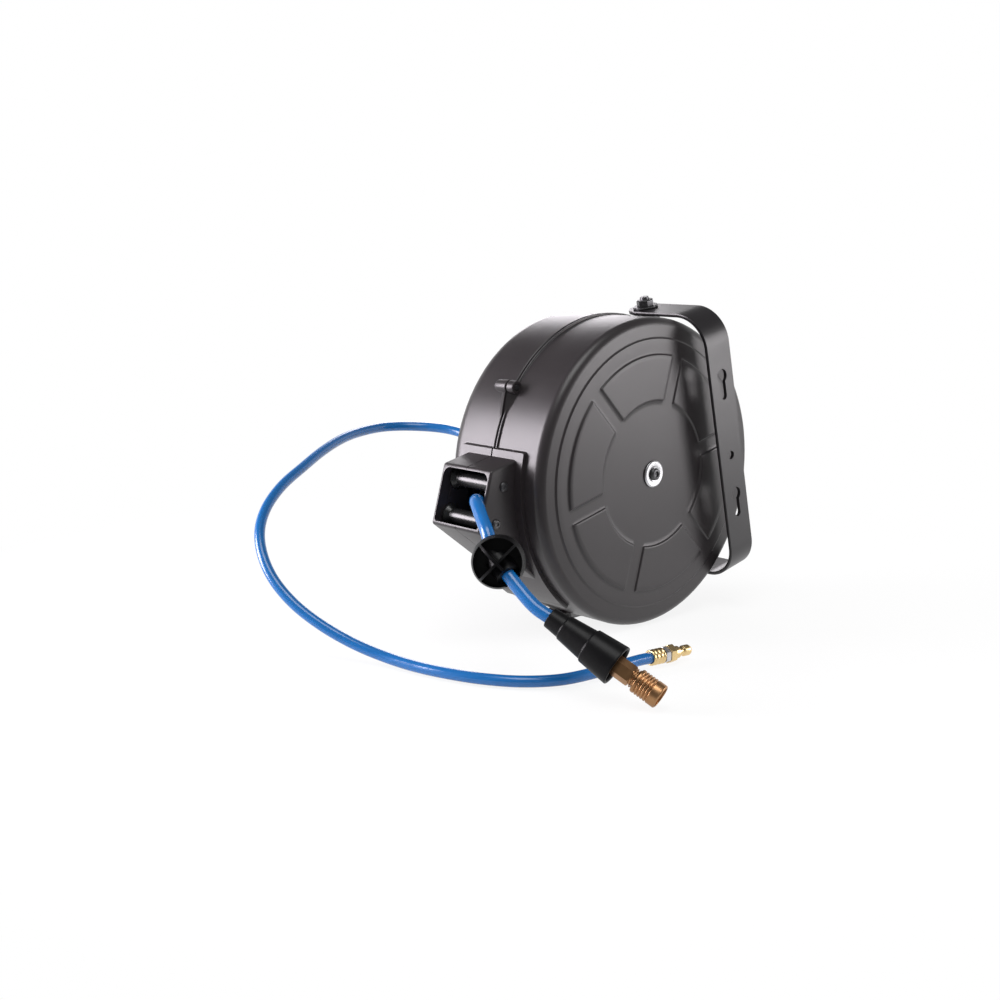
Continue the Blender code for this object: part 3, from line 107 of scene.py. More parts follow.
# Hoses, as points from the floor below the axle
HOSE_RADIUS = 6.0
LEAD_RADIUS = 5.1
WOUND_RADIUS = 5.9
WOUND_LOOPS = 6
WOUND_START = -43.0
WOUND_PITCH = 13.0
WORKING_ROUTE = (
    (-57, 9, 60.5), (-90, 6, 81.6), (-122, 1, 101.7), (-150, -6, 119.8), (-172.8, -14, 134.6),
    (-189, -23.2, 143), (-200, -33, 145.5), (-208, -45, 142.5), (-214, -57, 135), (-220.6, -71.3, 125.4),
)
STOP_CENTRE = np.array((-224.5, -89.6, 104.4))
STOP_DIRECTION = np.array((-0.05, -0.82, -0.57))
STOP_STRAIGHT = (-8, 0, 10, 18)
COUPLER_STRAIGHT = (-23, 0, 40)
COUPLER_START = np.array((-215.7, -149.4, 63.2))
COUPLER_DIRECTION = np.array((0.317, -0.814, -0.486))
INLET_STRAIGHT = (91.2, 112.9, 128.9)
LEAD_ROUTE = (
    (0, 164, 156), (-2, 200, 161), (-10, 234, 166),
    (-30, 262, 168), (-62, 275, 169), (-98, 270, 168), (-135, 256, 165), (-175, 236, 158),
    (-214, 215, 148), (-252, 196, 136), (-282, 178, 121), (-302, 160, 104), (-312, 141, 85),
    (-314, 120, 65), (-309, 95, 46), (-299, 67, 30), (-286, 38, 17), (-274, 8, 9),
    (-266, -25, 6), (-258, -60, 6), (-245, -93, 6), (-225, -121, 6), (-197, -140, 6.2),
    (-160, -148.5, 7.4),
)
LEAD_STRAIGHT = (30, 15, 0)
LEAD_END = np.array((-89, -157, 9.0))
LEAD_END_DIRECTION = np.array((0.991, -0.136, 0.0))


def unit(vector):
    vector = np.asarray(vector, float)
    return vector / np.linalg.norm(vector)


def frame_of(origin, z_axis, x_hint=(1, 0, 0)):
    """A 4 by 4 frame: z along an axis, x the part of the hint that is square to it."""
    z = unit(z_axis)
    x = unit(np.asarray(x_hint, float) - z * np.dot(x_hint, z))
    made = np.eye(4)
    made[:3, 0], made[:3, 1], made[:3, 2], made[:3, 3] = x, np.cross(z, x), z, origin
    return made


def turn_y(angle):
    """A 4 by 4 turn about y."""
    made = np.eye(4)
    made[0, 0] = made[2, 2] = math.cos(angle)
    made[0, 2], made[2, 0] = math.sin(angle), -math.sin(angle)
    return made


def shift(x, y, z):
    """A 4 by 4 move."""
    made = np.eye(4)
    made[:3, 3] = (x, y, z)
    return made


REEL = shift(*AXLE) @ turn_y(ROLL)
FRONT = REEL @ frame_of((0, 0, 0), (0, -1, 0))
REAR = REEL @ frame_of((0, 0, 0), (0, 1, 0))
BRACKET_PLACE = BRACKET_OFFSET * np.array((math.cos(BRACKET_TURN), 0, math.sin(BRACKET_TURN)))
BRACKET = REEL @ shift(*BRACKET_PLACE) @ turn_y(-BRACKET_TURN)
COUPLER = frame_of(FLOOR_AXLE + COUPLER_START, COUPLER_DIRECTION)
PLUG = frame_of(FLOOR_AXLE + LEAD_END, LEAD_END_DIRECTION, (0, 0, 1))


class Value:
    """A shader socket that takes part in sums; each operator adds one Math node."""

    def __init__(self, finish, socket):
        self.finish = finish
        self.socket = socket

    def sum_with(self, operation, first, second):
        made = self.finish.node("ShaderNodeMath", {"operation": operation}, {0: first, 1: second})
        return Value(self.finish, made.outputs[0])

    def __add__(self, other):
        return self.sum_with("ADD", self, other)

    __radd__ = __add__

    def __mul__(self, other):
        return self.sum_with("MULTIPLY", self, other)

    __rmul__ = __mul__

    def __sub__(self, other):
        return self.sum_with("SUBTRACT", self, other)

    def __rsub__(self, other):
        return self.sum_with("SUBTRACT", other, self)


class Nodes:
    """Node-making for one tree."""

    def __init__(self, tree):
        self.tree = tree

    def node(self, kind, settings=None, sockets=None):
        """Any node: its settings are set first, then the values or links of its sockets."""
        made = self.tree.nodes.new(kind)
        for key, value in (settings or {}).items():
            setattr(made, key, value)
        for key, value in (sockets or {}).items():
            self.feed(made.inputs[key], value)
        return made

    def feed(self, socket, value):
        if isinstance(value, Value):
            value = value.socket
        if isinstance(value, bpy.types.NodeSocket):
            self.tree.links.new(value, socket)
        elif isinstance(value, tuple) and len(value) == 3 and socket.type == "RGBA":
            socket.default_value = (*value, 1)
        else:
            socket.default_value = value

    def out(self, kind, name, settings=None, sockets=None):
        """One output of a new node, as a value for sums."""
        return Value(self, self.node(kind, settings, sockets).outputs[name])

    def place(self, stretch=(1, 1, 1), kind="Object"):
        """Object coordinates, or the piece's UV map, stretched."""
        source = self.node("ShaderNodeTexCoord").outputs[kind]
        made = self.node("ShaderNodeMapping", sockets={"Vector": source})
        made.inputs["Scale"].default_value = stretch
        return made.outputs["Vector"]

    def noise(self, scale, detail=3.0, rough=0.55, place=None):
        return self.out("ShaderNodeTexNoise", "Fac", sockets={
            "Vector": place or self.place(), "Scale": scale, "Detail": detail, "Roughness": rough})

    def wave(self, place):
        """Diagonal bands, one to a unit of the place's coordinates."""
        return self.out("ShaderNodeTexWave", "Fac", {"bands_direction": "DIAGONAL"},
                        {"Vector": place, "Scale": 1.0})

    def blend(self, factor, first, second):
        """A colour between two colours."""
        made = self.node("ShaderNodeMix", {"data_type": "RGBA"},
                         {"Factor": factor, 6: first, 7: second})
        return made.outputs[2]

    def ramp(self, value, low, high):
        """A straight rise from 0 at low to 1 at high."""
        return self.out("ShaderNodeMapRange", "Result", sockets={
            "Value": value, "From Min": low, "From Max": high})

    def along(self, spot, direction):
        """How far a point lies along a direction."""
        return self.out("ShaderNodeVectorMath", "Value", {"operation": "DOT_PRODUCT"},
                        {0: spot, 1: direction})

    def camera(self):
        """1 for what the camera itself looks at."""
        return self.out("ShaderNodeLightPath", "Is Camera Ray")

    def shown(self):
        """1 for what the camera, a mirror or glass looks at, 0 for light that falls on things."""
        rays = self.node("ShaderNodeLightPath").outputs
        mirror = Value(self, rays["Is Glossy Ray"]) + Value(self, rays["Is Transmission Ray"])
        return Value(self, rays["Is Camera Ray"]) + mirror


class Finish(Nodes):
    """One node material around a Principled shader."""

    def __init__(self, name):
        self.material = bpy.data.materials.new(name)
        self.material.use_nodes = True
        super().__init__(self.material.node_tree)
        self.shader = self.tree.nodes["Principled BSDF"]

    def set(self, **sockets):
        for key, value in sockets.items():
            self.feed(self.shader.inputs[key.replace("_", " ")], value)

    def bump(self, height, depth, strength=1.0):
        made = self.node("ShaderNodeBump", sockets={
            "Height": height, "Distance": depth, "Strength": strength})
        self.feed(self.shader.inputs["Normal"], made.outputs["Normal"])


def moulded_plastic():
    """Satin black moulding: fine spark grain, slow tone drift and faint rubbed marks."""
    finish = Finish("moulded_case_black")
    grain = finish.noise(1500, 2.0)
    drift = finish.noise(14, 3.0)
    rubbed = finish.ramp(finish.noise(55, 5.0, 0.7), 0.56, 0.75)
    finish.set(Base_Color=finish.blend(drift, (0.0165, 0.0138, 0.0150), (0.025, 0.0212, 0.0228)),
               Roughness=0.29 + drift * 0.10 - rubbed * 0.05 + grain * 0.04, IOR=1.5)
    finish.bump(grain, 0.00005, 0.35)
    return finish.material


def strap_paint():
    """Black powder coat on steel: orange peel and a soft sheen."""
    finish = Finish("strap_powder_black")
    peel = finish.noise(420, 2.0)
    drift = finish.noise(20, 3.0)
    finish.set(Base_Color=finish.blend(drift, (0.010, 0.009, 0.010), (0.017, 0.015, 0.017)),
               Roughness=0.27 + drift * 0.12, IOR=1.52)
    finish.bump(peel, 0.00008, 0.3)
    return finish.material


def bright_metal(name, dark, light, base_rough):
    """Turned metal: rings along the piece, stains and a slight change of tone."""
    finish = Finish(name)
    stain = finish.noise(160, 4.0, 0.6)
    rings = finish.noise(2600, 2.0, 0.5, finish.place((0.02, 1, 1), "UV"))
    finish.set(Base_Color=finish.blend(stain, dark, light), Metallic=1.0,
               Roughness=base_rough + stain * 0.12 + rings * 0.06)
    finish.bump(rings, 0.00003, 0.25)
    return finish.material


def dark_metal(name, dark, light, base_rough):
    """Blackened or sprung steel: cloudy tone and small scuffs."""
    finish = Finish(name)
    cloud = finish.noise(240, 4.0, 0.6)
    scuff = finish.ramp(finish.noise(900, 3.0), 0.6, 0.75)
    finish.set(Base_Color=finish.blend(cloud, dark, light), Metallic=0.9,
               Roughness=base_rough + cloud * 0.15 - scuff * 0.06)
    finish.bump(scuff, 0.00003, 0.2)
    return finish.material


def blue_hose():
    """Glossy blue hose: crossed threads show faintly under the smooth skin."""
    finish = Finish("blue_air_hose")
    skin = finish.place((1, 1, 1), "UV")
    one_way = finish.wave(finish.place((8, 330, 1), "UV"))
    other_way = finish.wave(finish.place((8, -330, 1), "UV"))
    threads = finish.ramp(one_way * other_way, 0.25, 0.9)
    cloud = finish.noise(40, 3.0, 0.6, skin)
    base = finish.blend(cloud, (0.003, 0.090, 0.28), (0.005, 0.130, 0.40))
    finish.set(Base_Color=finish.blend(threads * 0.12, base, (0.02, 0.2, 0.5)),
               Roughness=0.2 + cloud * 0.1, Coat_Weight=0.35, Coat_Roughness=0.12, IOR=1.5)
    finish.bump(finish.noise(260, 2.0), 0.00006, 0.2)
    return finish.material


def black_rubber():
    """Moulded rubber: matt, with a fine pebble and paler dust on it."""
    finish = Finish("black_rubber")
    pebble = finish.noise(1100, 3.0)
    dust = finish.ramp(finish.noise(90, 5.0, 0.7), 0.55, 0.8)
    finish.set(Base_Color=finish.blend(dust * 0.5, (0.0025, 0.0025, 0.003), (0.007, 0.0065, 0.007)),
               Roughness=0.38 + dust * 0.14, Specular_IOR_Level=0.2)
    finish.bump(pebble, 0.00007, 0.35)
    return finish.material


def black_nylon():
    """Turned black nylon of the rollers: smooth, with worn bands."""
    finish = Finish("black_nylon")
    worn = finish.noise(70, 3.0)
    finish.set(Base_Color=finish.blend(worn, (0.006, 0.006, 0.0065), (0.014, 0.014, 0.0145)),
               Roughness=0.2 + worn * 0.14, IOR=1.53)
    finish.bump(finish.noise(700, 2.0), 0.00004, 0.25)
    return finish.material


def drum_plastic():
    """Grey moulded drum inside the case."""
    finish = Finish("grey_drum")
    grain = finish.noise(900, 3.0)
    drift = finish.noise(18, 3.0)
    finish.set(Base_Color=finish.blend(drift, (0.09, 0.09, 0.095), (0.13, 0.13, 0.135)),
               Roughness=0.45 + drift * 0.1)
    finish.bump(grain, 0.00006, 0.3)
    return finish.material


FINISHES = {
    "case_black": moulded_plastic(),
    "strap_black": strap_paint(),
    "steel": bright_metal("bright_zinc", (0.5, 0.5, 0.52), (0.68, 0.68, 0.69), 0.26),
    "dark_steel": dark_metal("black_oxide_steel", (0.05, 0.05, 0.053), (0.13, 0.13, 0.135), 0.3),
    "blue_hose": blue_hose(),
    "rubber": black_rubber(),
    "brass": bright_metal("bright_brass", (0.72, 0.51, 0.23), (0.88, 0.68, 0.37), 0.18),
    "bronze": bright_metal("brown_brass", (0.34, 0.165, 0.075), (0.64, 0.37, 0.18), 0.24),
    "nylon": black_nylon(),
    "drum_grey": drum_plastic(),
}
for entry in frame["record"]["subparts"]:
    data = frame["nodes"][entry["node"]].data
    data.materials.clear()
    data.materials.append(FINISHES[entry["material_slot"]])


def finish_piece(mesh, name, slot=None, body=None):
    """Weld seams and poles, turn faces outwards, smooth, and let the piece ride its body."""
    work = bmesh.new()
    work.from_mesh(mesh)
    bmesh.ops.remove_doubles(work, verts=work.verts, dist=2e-6)
    bmesh.ops.dissolve_degenerate(work, edges=work.edges, dist=1e-7)
    bmesh.ops.recalc_face_normals(work, faces=work.faces)
    work.to_mesh(mesh)
    work.free()
    mesh.shade_smooth()
    mesh.set_sharp_from_angle(angle=SHARP_ANGLE)
    made = bpy.data.objects.new(name, mesh)
    bpy.context.scene.collection.objects.link(made)
    if slot:
        mesh.materials.append(FINISHES[slot])
    if body:
        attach(made, body)
    return made


def grid_mesh(name, points, place, uv=None, caps=False):
    """A mesh from a grid of points (rows, columns, 3); neighbours on the grid share quads."""
    rows, columns = points.shape[:2]
    flat = points.reshape(-1, 3) @ place[:3, :3].T + place[:3, 3]
    index = np.arange(rows * columns).reshape(rows, columns)
    quads = np.stack((index[:-1, :-1], index[:-1, 1:], index[1:, 1:], index[1:, :-1]), -1)
    faces = quads.reshape(-1, 4).tolist()
    if caps:
        faces += [index[0, :-1].tolist(), index[-1, :-1][::-1].tolist()]
    mesh = bpy.data.meshes.new(name)
    mesh.from_pydata((flat * MM).tolist(), [], faces)
    if uv is not None:
        corners = np.empty(len(mesh.loops), int)
        mesh.loops.foreach_get("vertex_index", corners)
        layer = mesh.uv_layers.new(name="skin")
        layer.data.foreach_set("uv", uv.reshape(-1, 2)[corners].astype(np.float32).ravel())
    return mesh


def rounded(profile, radius, steps=4):
    """Round every corner of a closed (r, z) profile with a parabola between two tangent points."""
    points = np.asarray(profile, float)
    before, after = np.roll(points, 1, 0), np.roll(points, -1, 0)
    reach_in = np.minimum(radius, 0.45 * np.linalg.norm(points - before, axis=1))[:, None]
    reach_out = np.minimum(radius, 0.45 * np.linalg.norm(after - points, axis=1))[:, None]
    length_in = np.linalg.norm(before - points, axis=1)[:, None] + 1e-9
    length_out = np.linalg.norm(after - points, axis=1)[:, None] + 1e-9
    start = points + (before - points) / length_in * reach_in
    stop = points + (after - points) / length_out * reach_out
    t = np.linspace(0, 1, steps + 1)[None, :, None]
    bend = (1 - t) ** 2 * start[:, None] + 2 * t * (1 - t) * points[:, None] + t ** 2 * stop[:, None]
    return bend.reshape(-1, 2)


def lengths(path):
    """How far each point of a path lies along it."""
    return np.concatenate(([0], np.cumsum(np.linalg.norm(np.diff(path, axis=0), axis=1))))


def turned(name, profile, place, slot, body, soft=0.25, steps=96, flats=None):
    """A turned piece: each (r, z) point goes to (r cos a, r sin a, z).

    flats = (corner radius, low, high) cuts six flats there: r is at most corner x cos 30 /
    cos(a past the middle of its flat).
    """
    outline = rounded(profile, soft) if soft else np.asarray(profile, float)
    outline = np.vstack((outline, outline[:1]))
    angle = np.linspace(0, 2 * math.pi, steps + 1)
    radius = np.repeat(outline[:, :1], steps + 1, 1)
    height = np.repeat(outline[:, 1:], steps + 1, 1)
    if flats:
        corner, low, high = flats
        off_middle = (angle % (math.pi / 3)) - math.pi / 6
        flat = corner * math.cos(math.pi / 6) / np.cos(off_middle)
        inside = (height >= low - 1e-6) & (height <= high + 1e-6)
        radius = np.where(inside, np.minimum(radius, flat[None, :]), radius)
    points = np.stack((radius * np.cos(angle), radius * np.sin(angle), height), -1)
    uv = np.stack(np.broadcast_arrays(angle / (2 * math.pi), lengths(outline)[:, None] * MM), -1)
    return finish_piece(grid_mesh(name, points, place, uv), name, slot, body)


def smooth_route(route, spacing=1.5):
    """Catmull-Rom curve through the points, read at an even spacing along its length."""
    knots = np.asarray(route, float)
    padded = np.vstack((2 * knots[:1] - knots[1:2], knots, 2 * knots[-1:] - knots[-2:-1]))
    t = np.linspace(0, 1, 24, endpoint=False)[None, :, None]
    p0, p1, p2, p3 = (padded[i:len(padded) - 3 + i, None] for i in range(4))
    fine = 0.5 * (2 * p1 + (p2 - p0) * t + (2 * p0 - 5 * p1 + 4 * p2 - p3) * t ** 2
                  + (3 * p1 - p0 - 3 * p2 + p3) * t ** 3)
    fine = np.vstack((fine.reshape(-1, 3), knots[-1:]))
    run = lengths(fine)
    even = np.linspace(0, run[-1], max(8, round(run[-1] / spacing)) + 1)
    return np.stack([np.interp(even, run, fine[:, k]) for k in range(3)], -1), run[-1]


def tube_mesh(name, path, radius, sides=28):
    """A round tube: path(s) + r (cos a n(s) + sin a b(s)), with n and b turned as little as can be."""
    along = np.gradient(path, axis=0)
    along /= np.linalg.norm(along, axis=1)[:, None]
    normals = np.empty_like(path)
    start = np.cross(along[0], (0.31, 0.2, 0.93))
    normals[0] = start / np.linalg.norm(start)
    for i in range(1, len(path)):
        square = normals[i - 1] - along[i] * np.dot(normals[i - 1], along[i])
        normals[i] = square / np.linalg.norm(square)
    across = np.cross(along, normals)
    angle = np.linspace(0, 2 * math.pi, sides + 1)[None, :, None]
    points = path[:, None] + radius * (np.cos(angle) * normals[:, None] + np.sin(angle) * across[:, None])
    uv = np.stack(np.broadcast_arrays(angle[:, :, 0] / (2 * math.pi), lengths(path)[:, None] * MM), -1)
    return grid_mesh(name, points, np.eye(4), uv, caps=True)


def prism(name, outline, low, high, place):
    """A closed outline (x, y) carried straight along z from low to high, with capped ends."""
    loop = np.asarray(list(outline) + [outline[0]], float)
    points = np.stack([np.column_stack((loop, np.full(len(loop), z))) for z in (low, high)])
    return finish_piece(grid_mesh(name, points, place, None, caps=True), name)


def soften(piece, width, segments):
    """Bevel a cutter's or blank's sharp edges, and apply it."""
    step = piece.modifiers.new("edges", "BEVEL")
    step.width = width * MM
    step.segments = segments
    step.limit_method = "ANGLE"
    step.angle_limit = math.radians(30)
    return apply_modifiers(piece)


def apply_modifiers(piece):
    """Put the result of the modifiers in place of the piece's mesh."""
    graph = bpy.context.evaluated_depsgraph_get()
    mesh = bpy.data.meshes.new_from_object(piece.evaluated_get(graph))
    piece.modifiers.clear()
    old = piece.data
    piece.data = mesh
    bpy.data.meshes.remove(old)
    return piece


def carve(piece, tools, operation="DIFFERENCE"):
    """One exact Boolean with several tools, applied; the tools are removed."""
    for tool in tools:
        step = piece.modifiers.new(tool.name, "BOOLEAN")
        step.operation = operation
        step.object = tool
        step.solver = "EXACT"
    apply_modifiers(piece)
    for tool in tools:
        bpy.data.objects.remove(tool, do_unlink=True)
    piece.data.shade_smooth()
    piece.data.set_sharp_from_angle(angle=SHARP_ANGLE)
    return piece


def adopt(piece, slot, body):
    """Give a carved blank its finish, and let it ride its body."""
    piece.data.materials.clear()
    piece.data.materials.append(FINISHES[slot])
    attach(piece, body)
    return piece


def arc(centre, radius, start, stop, count=12):
    """Points on an arc between two angles in degrees."""
    angle = np.radians(np.linspace(start, stop, count + 1))
    return np.column_stack((centre[0] + radius * np.cos(angle), centre[1] + radius * np.sin(angle)))


# Camera
EYE_OFFSET = np.array((-991, -933.4, 221))
BACK = np.array((-0.6616, -0.7266, 0.185))
RIGHT = np.array((0.7394, -0.6733, 0.0))
UP = np.array((0.1245, 0.1368, 0.9827))
eye = bpy.data.objects.new("camera", bpy.data.cameras.new("camera"))
bpy.context.scene.collection.objects.link(eye)
bpy.context.scene.camera = eye
eye.data.lens = 49.59
eye.data.sensor_width = 36.0
look = np.eye(4)
look[:3, 0], look[:3, 1], look[:3, 2] = unit(RIGHT), unit(UP), unit(BACK)
look[:3, 3] = (AXLE + EYE_OFFSET) * MM
eye.matrix_world = Matrix(look.tolist())
eye.data.clip_start = 0.05

# Hoses
along_stop = unit(STOP_DIRECTION)
along_coupler = unit(COUPLER_DIRECTION)
working_points = [FLOOR_AXLE + np.array(point, float) for point in WORKING_ROUTE]
working_points += [FLOOR_AXLE + STOP_CENTRE + along_stop * reach for reach in STOP_STRAIGHT]
working_points += [FLOOR_AXLE + COUPLER_START + along_coupler * reach for reach in COUPLER_STRAIGHT]
working_path, working_length = smooth_route(working_points)
working_hose = finish_piece(tube_mesh("working_air_hose", working_path, HOSE_RADIUS),
                            "working_air_hose", "blue_hose", "reel_body")
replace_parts(working_hose, "working_hose")
lead_points = [AXLE + (0, y, 0) for y in INLET_STRAIGHT]
lead_points += [FLOOR_AXLE + np.array(point, float) for point in LEAD_ROUTE]
lead_points += [FLOOR_AXLE + LEAD_END - unit(LEAD_END_DIRECTION) * back for back in LEAD_STRAIGHT]
lead_path, lead_length = smooth_route(lead_points)
lead_hose = finish_piece(tube_mesh("lead_air_hose", lead_path, LEAD_RADIUS),
                         "lead_air_hose", "blue_hose", "reel_body")
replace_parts(lead_hose, "lead_hose")


def wound_layer(name, radius, phase):
    """One layer of wound hose: a helix of even pitch, (R cos a, start + pitch a / 2 pi, R sin a)."""
    turn = np.linspace(0, 2 * math.pi * WOUND_LOOPS, 72 * WOUND_LOOPS + 1)
    path = np.column_stack((radius * np.cos(turn + phase), WOUND_START + WOUND_PITCH * turn / (2 * math.pi),
                            radius * np.sin(turn + phase)))
    path = path @ REEL[:3, :3].T + REEL[:3, 3]
    return finish_piece(tube_mesh(name, path, WOUND_RADIUS, 14), name, "blue_hose", "drum")


outer_layer = wound_layer("wound_hose_outer_layer", 93.6, 0.0)
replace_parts(outer_layer, "outer_hose_layer")
middle_layer = wound_layer("wound_hose_middle_layer", 80.7, 2.0)
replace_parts(middle_layer, "inner_hose_layers")
wound_layer("wound_hose_first_layer", 68.4, 4.0)


def case_loop(depth, rim, axle_hole):
    """Closed (r, z) loop of a case half.

    It runs from the axle hole over the face, the ring step, the rounded rim and the seam lip, and
    back inside.
    """
    step = np.array((-0.9, -0.45, 0, 0.45, 0.9))
    rows = np.concatenate((
        [axle_hole, axle_hole + 0.6, 12, 20, 30, 42, 55, 66], PANEL_INNER + step,
        [73, 82, 92, 102, 110], PANEL_OUTER + step, [118, 123, RING_STEP - 2]))
    face = np.column_stack((rows, np.full(len(rows), depth)))
    ring = [(RING_STEP - 0.8, depth - 0.1), (RING_STEP, depth - 0.7),
            (RING_STEP + 0.8, depth - 1.3), (RING_STEP + 1.6, depth - RING_DROP)]
    rim_arc = arc((CASE_RADIUS - rim, depth - RING_DROP - rim), rim, 86, 0, 14)
    lip = CASE_RADIUS + LIP
    wall = [(CASE_RADIUS, 24.0), (CASE_RADIUS, LIP_WIDTH + 0.5), (CASE_RADIUS + 0.4, LIP_WIDTH + 0.1),
            (lip - 0.4, LIP_WIDTH - 0.1), (lip, LIP_WIDTH - 0.6), (lip, 1.5), (lip - 0.5, GROOVE),
            (CASE_RADIUS - 1, GROOVE), (CASE_RADIUS - 1.2, SEAM)]
    inside = CASE_RADIUS - CASE_WALL
    floor_level = depth - FACE_WALL
    back = [(inside, SEAM), (inside, depth - 24)]
    inner_arc = arc((inside - INNER_RIM, floor_level - INNER_RIM), INNER_RIM, 0, 90, 6)
    close = [(axle_hole, floor_level), (axle_hole, depth)]
    return np.vstack((face, ring, rim_arc, wall, back, inner_arc, close))


def smooth_step(value, width=0.8):
    """0 below -width, 1 above width, and smooth between."""
    t = np.clip(value / width * 0.5 + 0.5, 0, 1)
    return t * t * (3 - 2 * t)


def case_shell(name, front, place, axle_hole):
    """Half of the case: a closed (r, z) loop turned about the axle.

    The columns lie close together along the edges of six spokes.  On the front face z rises by a
    smooth step inside each of six sectors:
    h = lift x s(r - inner) x s(outer - r) x s(distance to the spoke's middle - half width).
    """
    depth = CASE_FRONT if front else CASE_REAR
    loop = case_loop(depth, FRONT_RIM if front else REAR_RIM, axle_hole)
    radius = loop[:, 0][:, None]
    sector = math.pi / 3
    offsets = np.concatenate(((0, 3.5), SPOKE_HALF + np.array((-1, -0.5, 0, 0.5, 1, 2))))
    spoke = offsets[None] * np.minimum(1, radius / 45) / np.maximum(radius, 14)
    edge = np.arcsin(np.clip(spoke, 0, 0.45))
    left = edge[:, -1:]
    middle = left + (sector - 2 * left) * np.linspace(0, 1, 15)[None, 1:-1]
    one = np.concatenate((edge, middle, sector - edge[:, ::-1][:, :-1]), 1)
    full = np.full((len(loop), 1), 2 * math.pi)
    angle = np.concatenate([one + sector * k for k in range(6)] + [full], 1) + math.pi / 2
    height = np.repeat(loop[:, 1:], angle.shape[1], 1)
    if front:
        past = np.abs((angle - math.pi / 2 + sector / 2) % sector - sector / 2)
        lift = PANEL_LIFT * smooth_step(radius - PANEL_INNER) * smooth_step(PANEL_OUTER - radius)
        lift = lift * smooth_step(radius * np.sin(past) - SPOKE_HALF)
        height = height + lift * (height > depth - 0.05)
    points = np.stack((radius * np.cos(angle), radius * np.sin(angle), height), -1)
    return finish_piece(grid_mesh(name, points, place), name)


def mouth_outline(inset, reach):
    """Side view of the hose mouth: steep top, underside tangent to the case."""
    radius = CASE_RADIUS - 3 - inset
    top = MOUTH_Z + MOUTH_HEIGHT / 2 - inset
    corner = np.array((MOUTH_X, MOUTH_Z - MOUTH_HEIGHT / 2 + inset))
    polar = math.atan2(corner[1], corner[0]) + math.acos(radius / np.linalg.norm(corner))
    touch = radius * np.array((math.cos(polar), math.sin(polar)))
    fall = (touch[1] - corner[1]) / (touch[0] - corner[0])
    slope = math.tan(math.radians(29))
    inner = -CASE_RADIUS * 0.75
    return [(MOUTH_X - reach, top - slope * reach), (inner, top + slope * (inner - MOUTH_X)),
            (inner * 0.35, -CASE_RADIUS * 0.5), tuple(touch),
            (MOUTH_X - reach, corner[1] - fall * reach)]


def throat():
    """The way for the hose: a wide box behind a thin front rim with rounded corners."""
    side = MOUTH_WIDTH / 2
    deep = prism("throat", mouth_outline(MOUTH_WALL, -5.0), MOUTH_WALL - side, side - MOUTH_WALL, FRONT)
    low = MOUTH_Z - MOUTH_HEIGHT / 2 + MOUTH_WALL
    high = MOUTH_Z + MOUTH_HEIGHT / 2 - MOUTH_RIM
    wide = side - MOUTH_RIM
    top_bend = 8.0
    low_bend = 3.0
    line = np.vstack((
        arc((wide - top_bend, high - top_bend), top_bend, 0, 90),
        arc((top_bend - wide, high - top_bend), top_bend, 90, 180),
        arc((low_bend - wide, low + low_bend), low_bend, 180, 270),
        arc((wide - low_bend, low + low_bend), low_bend, 270, 360)))
    front = prism("throat_front", line.tolist(), -MOUTH_X - 12, -MOUTH_X + 10,
                  REEL @ frame_of((0, 0, 0), (-1, 0, 0), (0, -1, 0)))
    return [soften(deep, 4.5, 5), front]


def half_space(side, gap):
    """A block over the far side of the seam, which splits what crosses it."""
    square = [(-400, -400), (400, -400), (400, 400), (-400, 400)]
    low, high = (-200, gap) if side > 0 else (-gap, 200)
    return prism("far_side", square, low, high, FRONT)


def cylinder(name, radius, low, high, place, steps=180):
    """A plain cylinder about its frame's z."""
    return prism(name, arc((0, 0), radius, 0, 360, steps)[:-1].tolist(), low, high, place)


def hollow():
    """The room inside the case, which mouth and pad leave free."""
    return cylinder("inside", CASE_RADIUS - 1, -120, 120, FRONT)


# Case halves with the mouth, its base pad, pivot posts and screw bosses
front_shell = carve(case_shell("front_shell", True, FRONT, FRONT_HOLE), throat())
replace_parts(adopt(front_shell, "case_black", "reel_body"), "front_case_half")
rear_shell = carve(case_shell("rear_shell", False, REAR, REAR_HOLE), throat())
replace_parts(adopt(rear_shell, "case_black", "reel_body"), "rear_case_half")
for word, side in (("front", 1), ("rear", -1)):
    mouth = prism(f"{word}_mouth", mouth_outline(0, 0), -MOUTH_WIDTH / 2, MOUTH_WIDTH / 2, FRONT)
    soften(mouth, 2.2, 4)
    carve(mouth, throat() + [hollow(), half_space(side, 0.3)])
    adopt(mouth, "case_black", "reel_body")
    pad = prism(f"{word}_mouth_pad", mouth_outline(-7.0, 0), -42, 42, FRONT)
    soften(pad, 1.6, 3)
    carve(pad, [cylinder("outside", CASE_RADIUS + 4.2, -120, 120, FRONT)], "INTERSECT")
    carve(pad, throat() + [hollow(), half_space(side, GROOVE)])
    adopt(pad, "case_black", "reel_body")

for word, end in (("upper", 1), ("lower", -1)):
    place = BRACKET @ frame_of((0, 0, 0), (0, 0, end))
    turned(f"{word}_pivot_post", [(5.4, 108), (13, 108), (13, 134.4), (5.4, 134.4)], place,
           "case_black", "reel_body", 1.0, 64)
    turned(f"{word}_pivot_spring_washer", [
        (5.4, 138.6), (12.4, 138.6), (12.4, 140.5), (5.4, 140.5)],
        place, "dark_steel", "reel_body", 0.4, 64)
    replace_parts(bpy.data.objects[f"{word}_pivot_spring_washer"], f"{word}_pivot_washer")
    nut = turned(f"{word}_pivot_nut", [
        (0, 117.5), (5, 117.5), (5, 140.8), (8.5, 140.8), (8.5, 146.0), (7.2, 146.8), (4.6, 146.8),
        (4.2, 149.6), (0, 149.6)],
        place, "dark_steel", "reel_body", 0.2, 96, (8.5, 140.7, 146.1))
    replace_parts(nut, f"{word}_pivot_bolt")


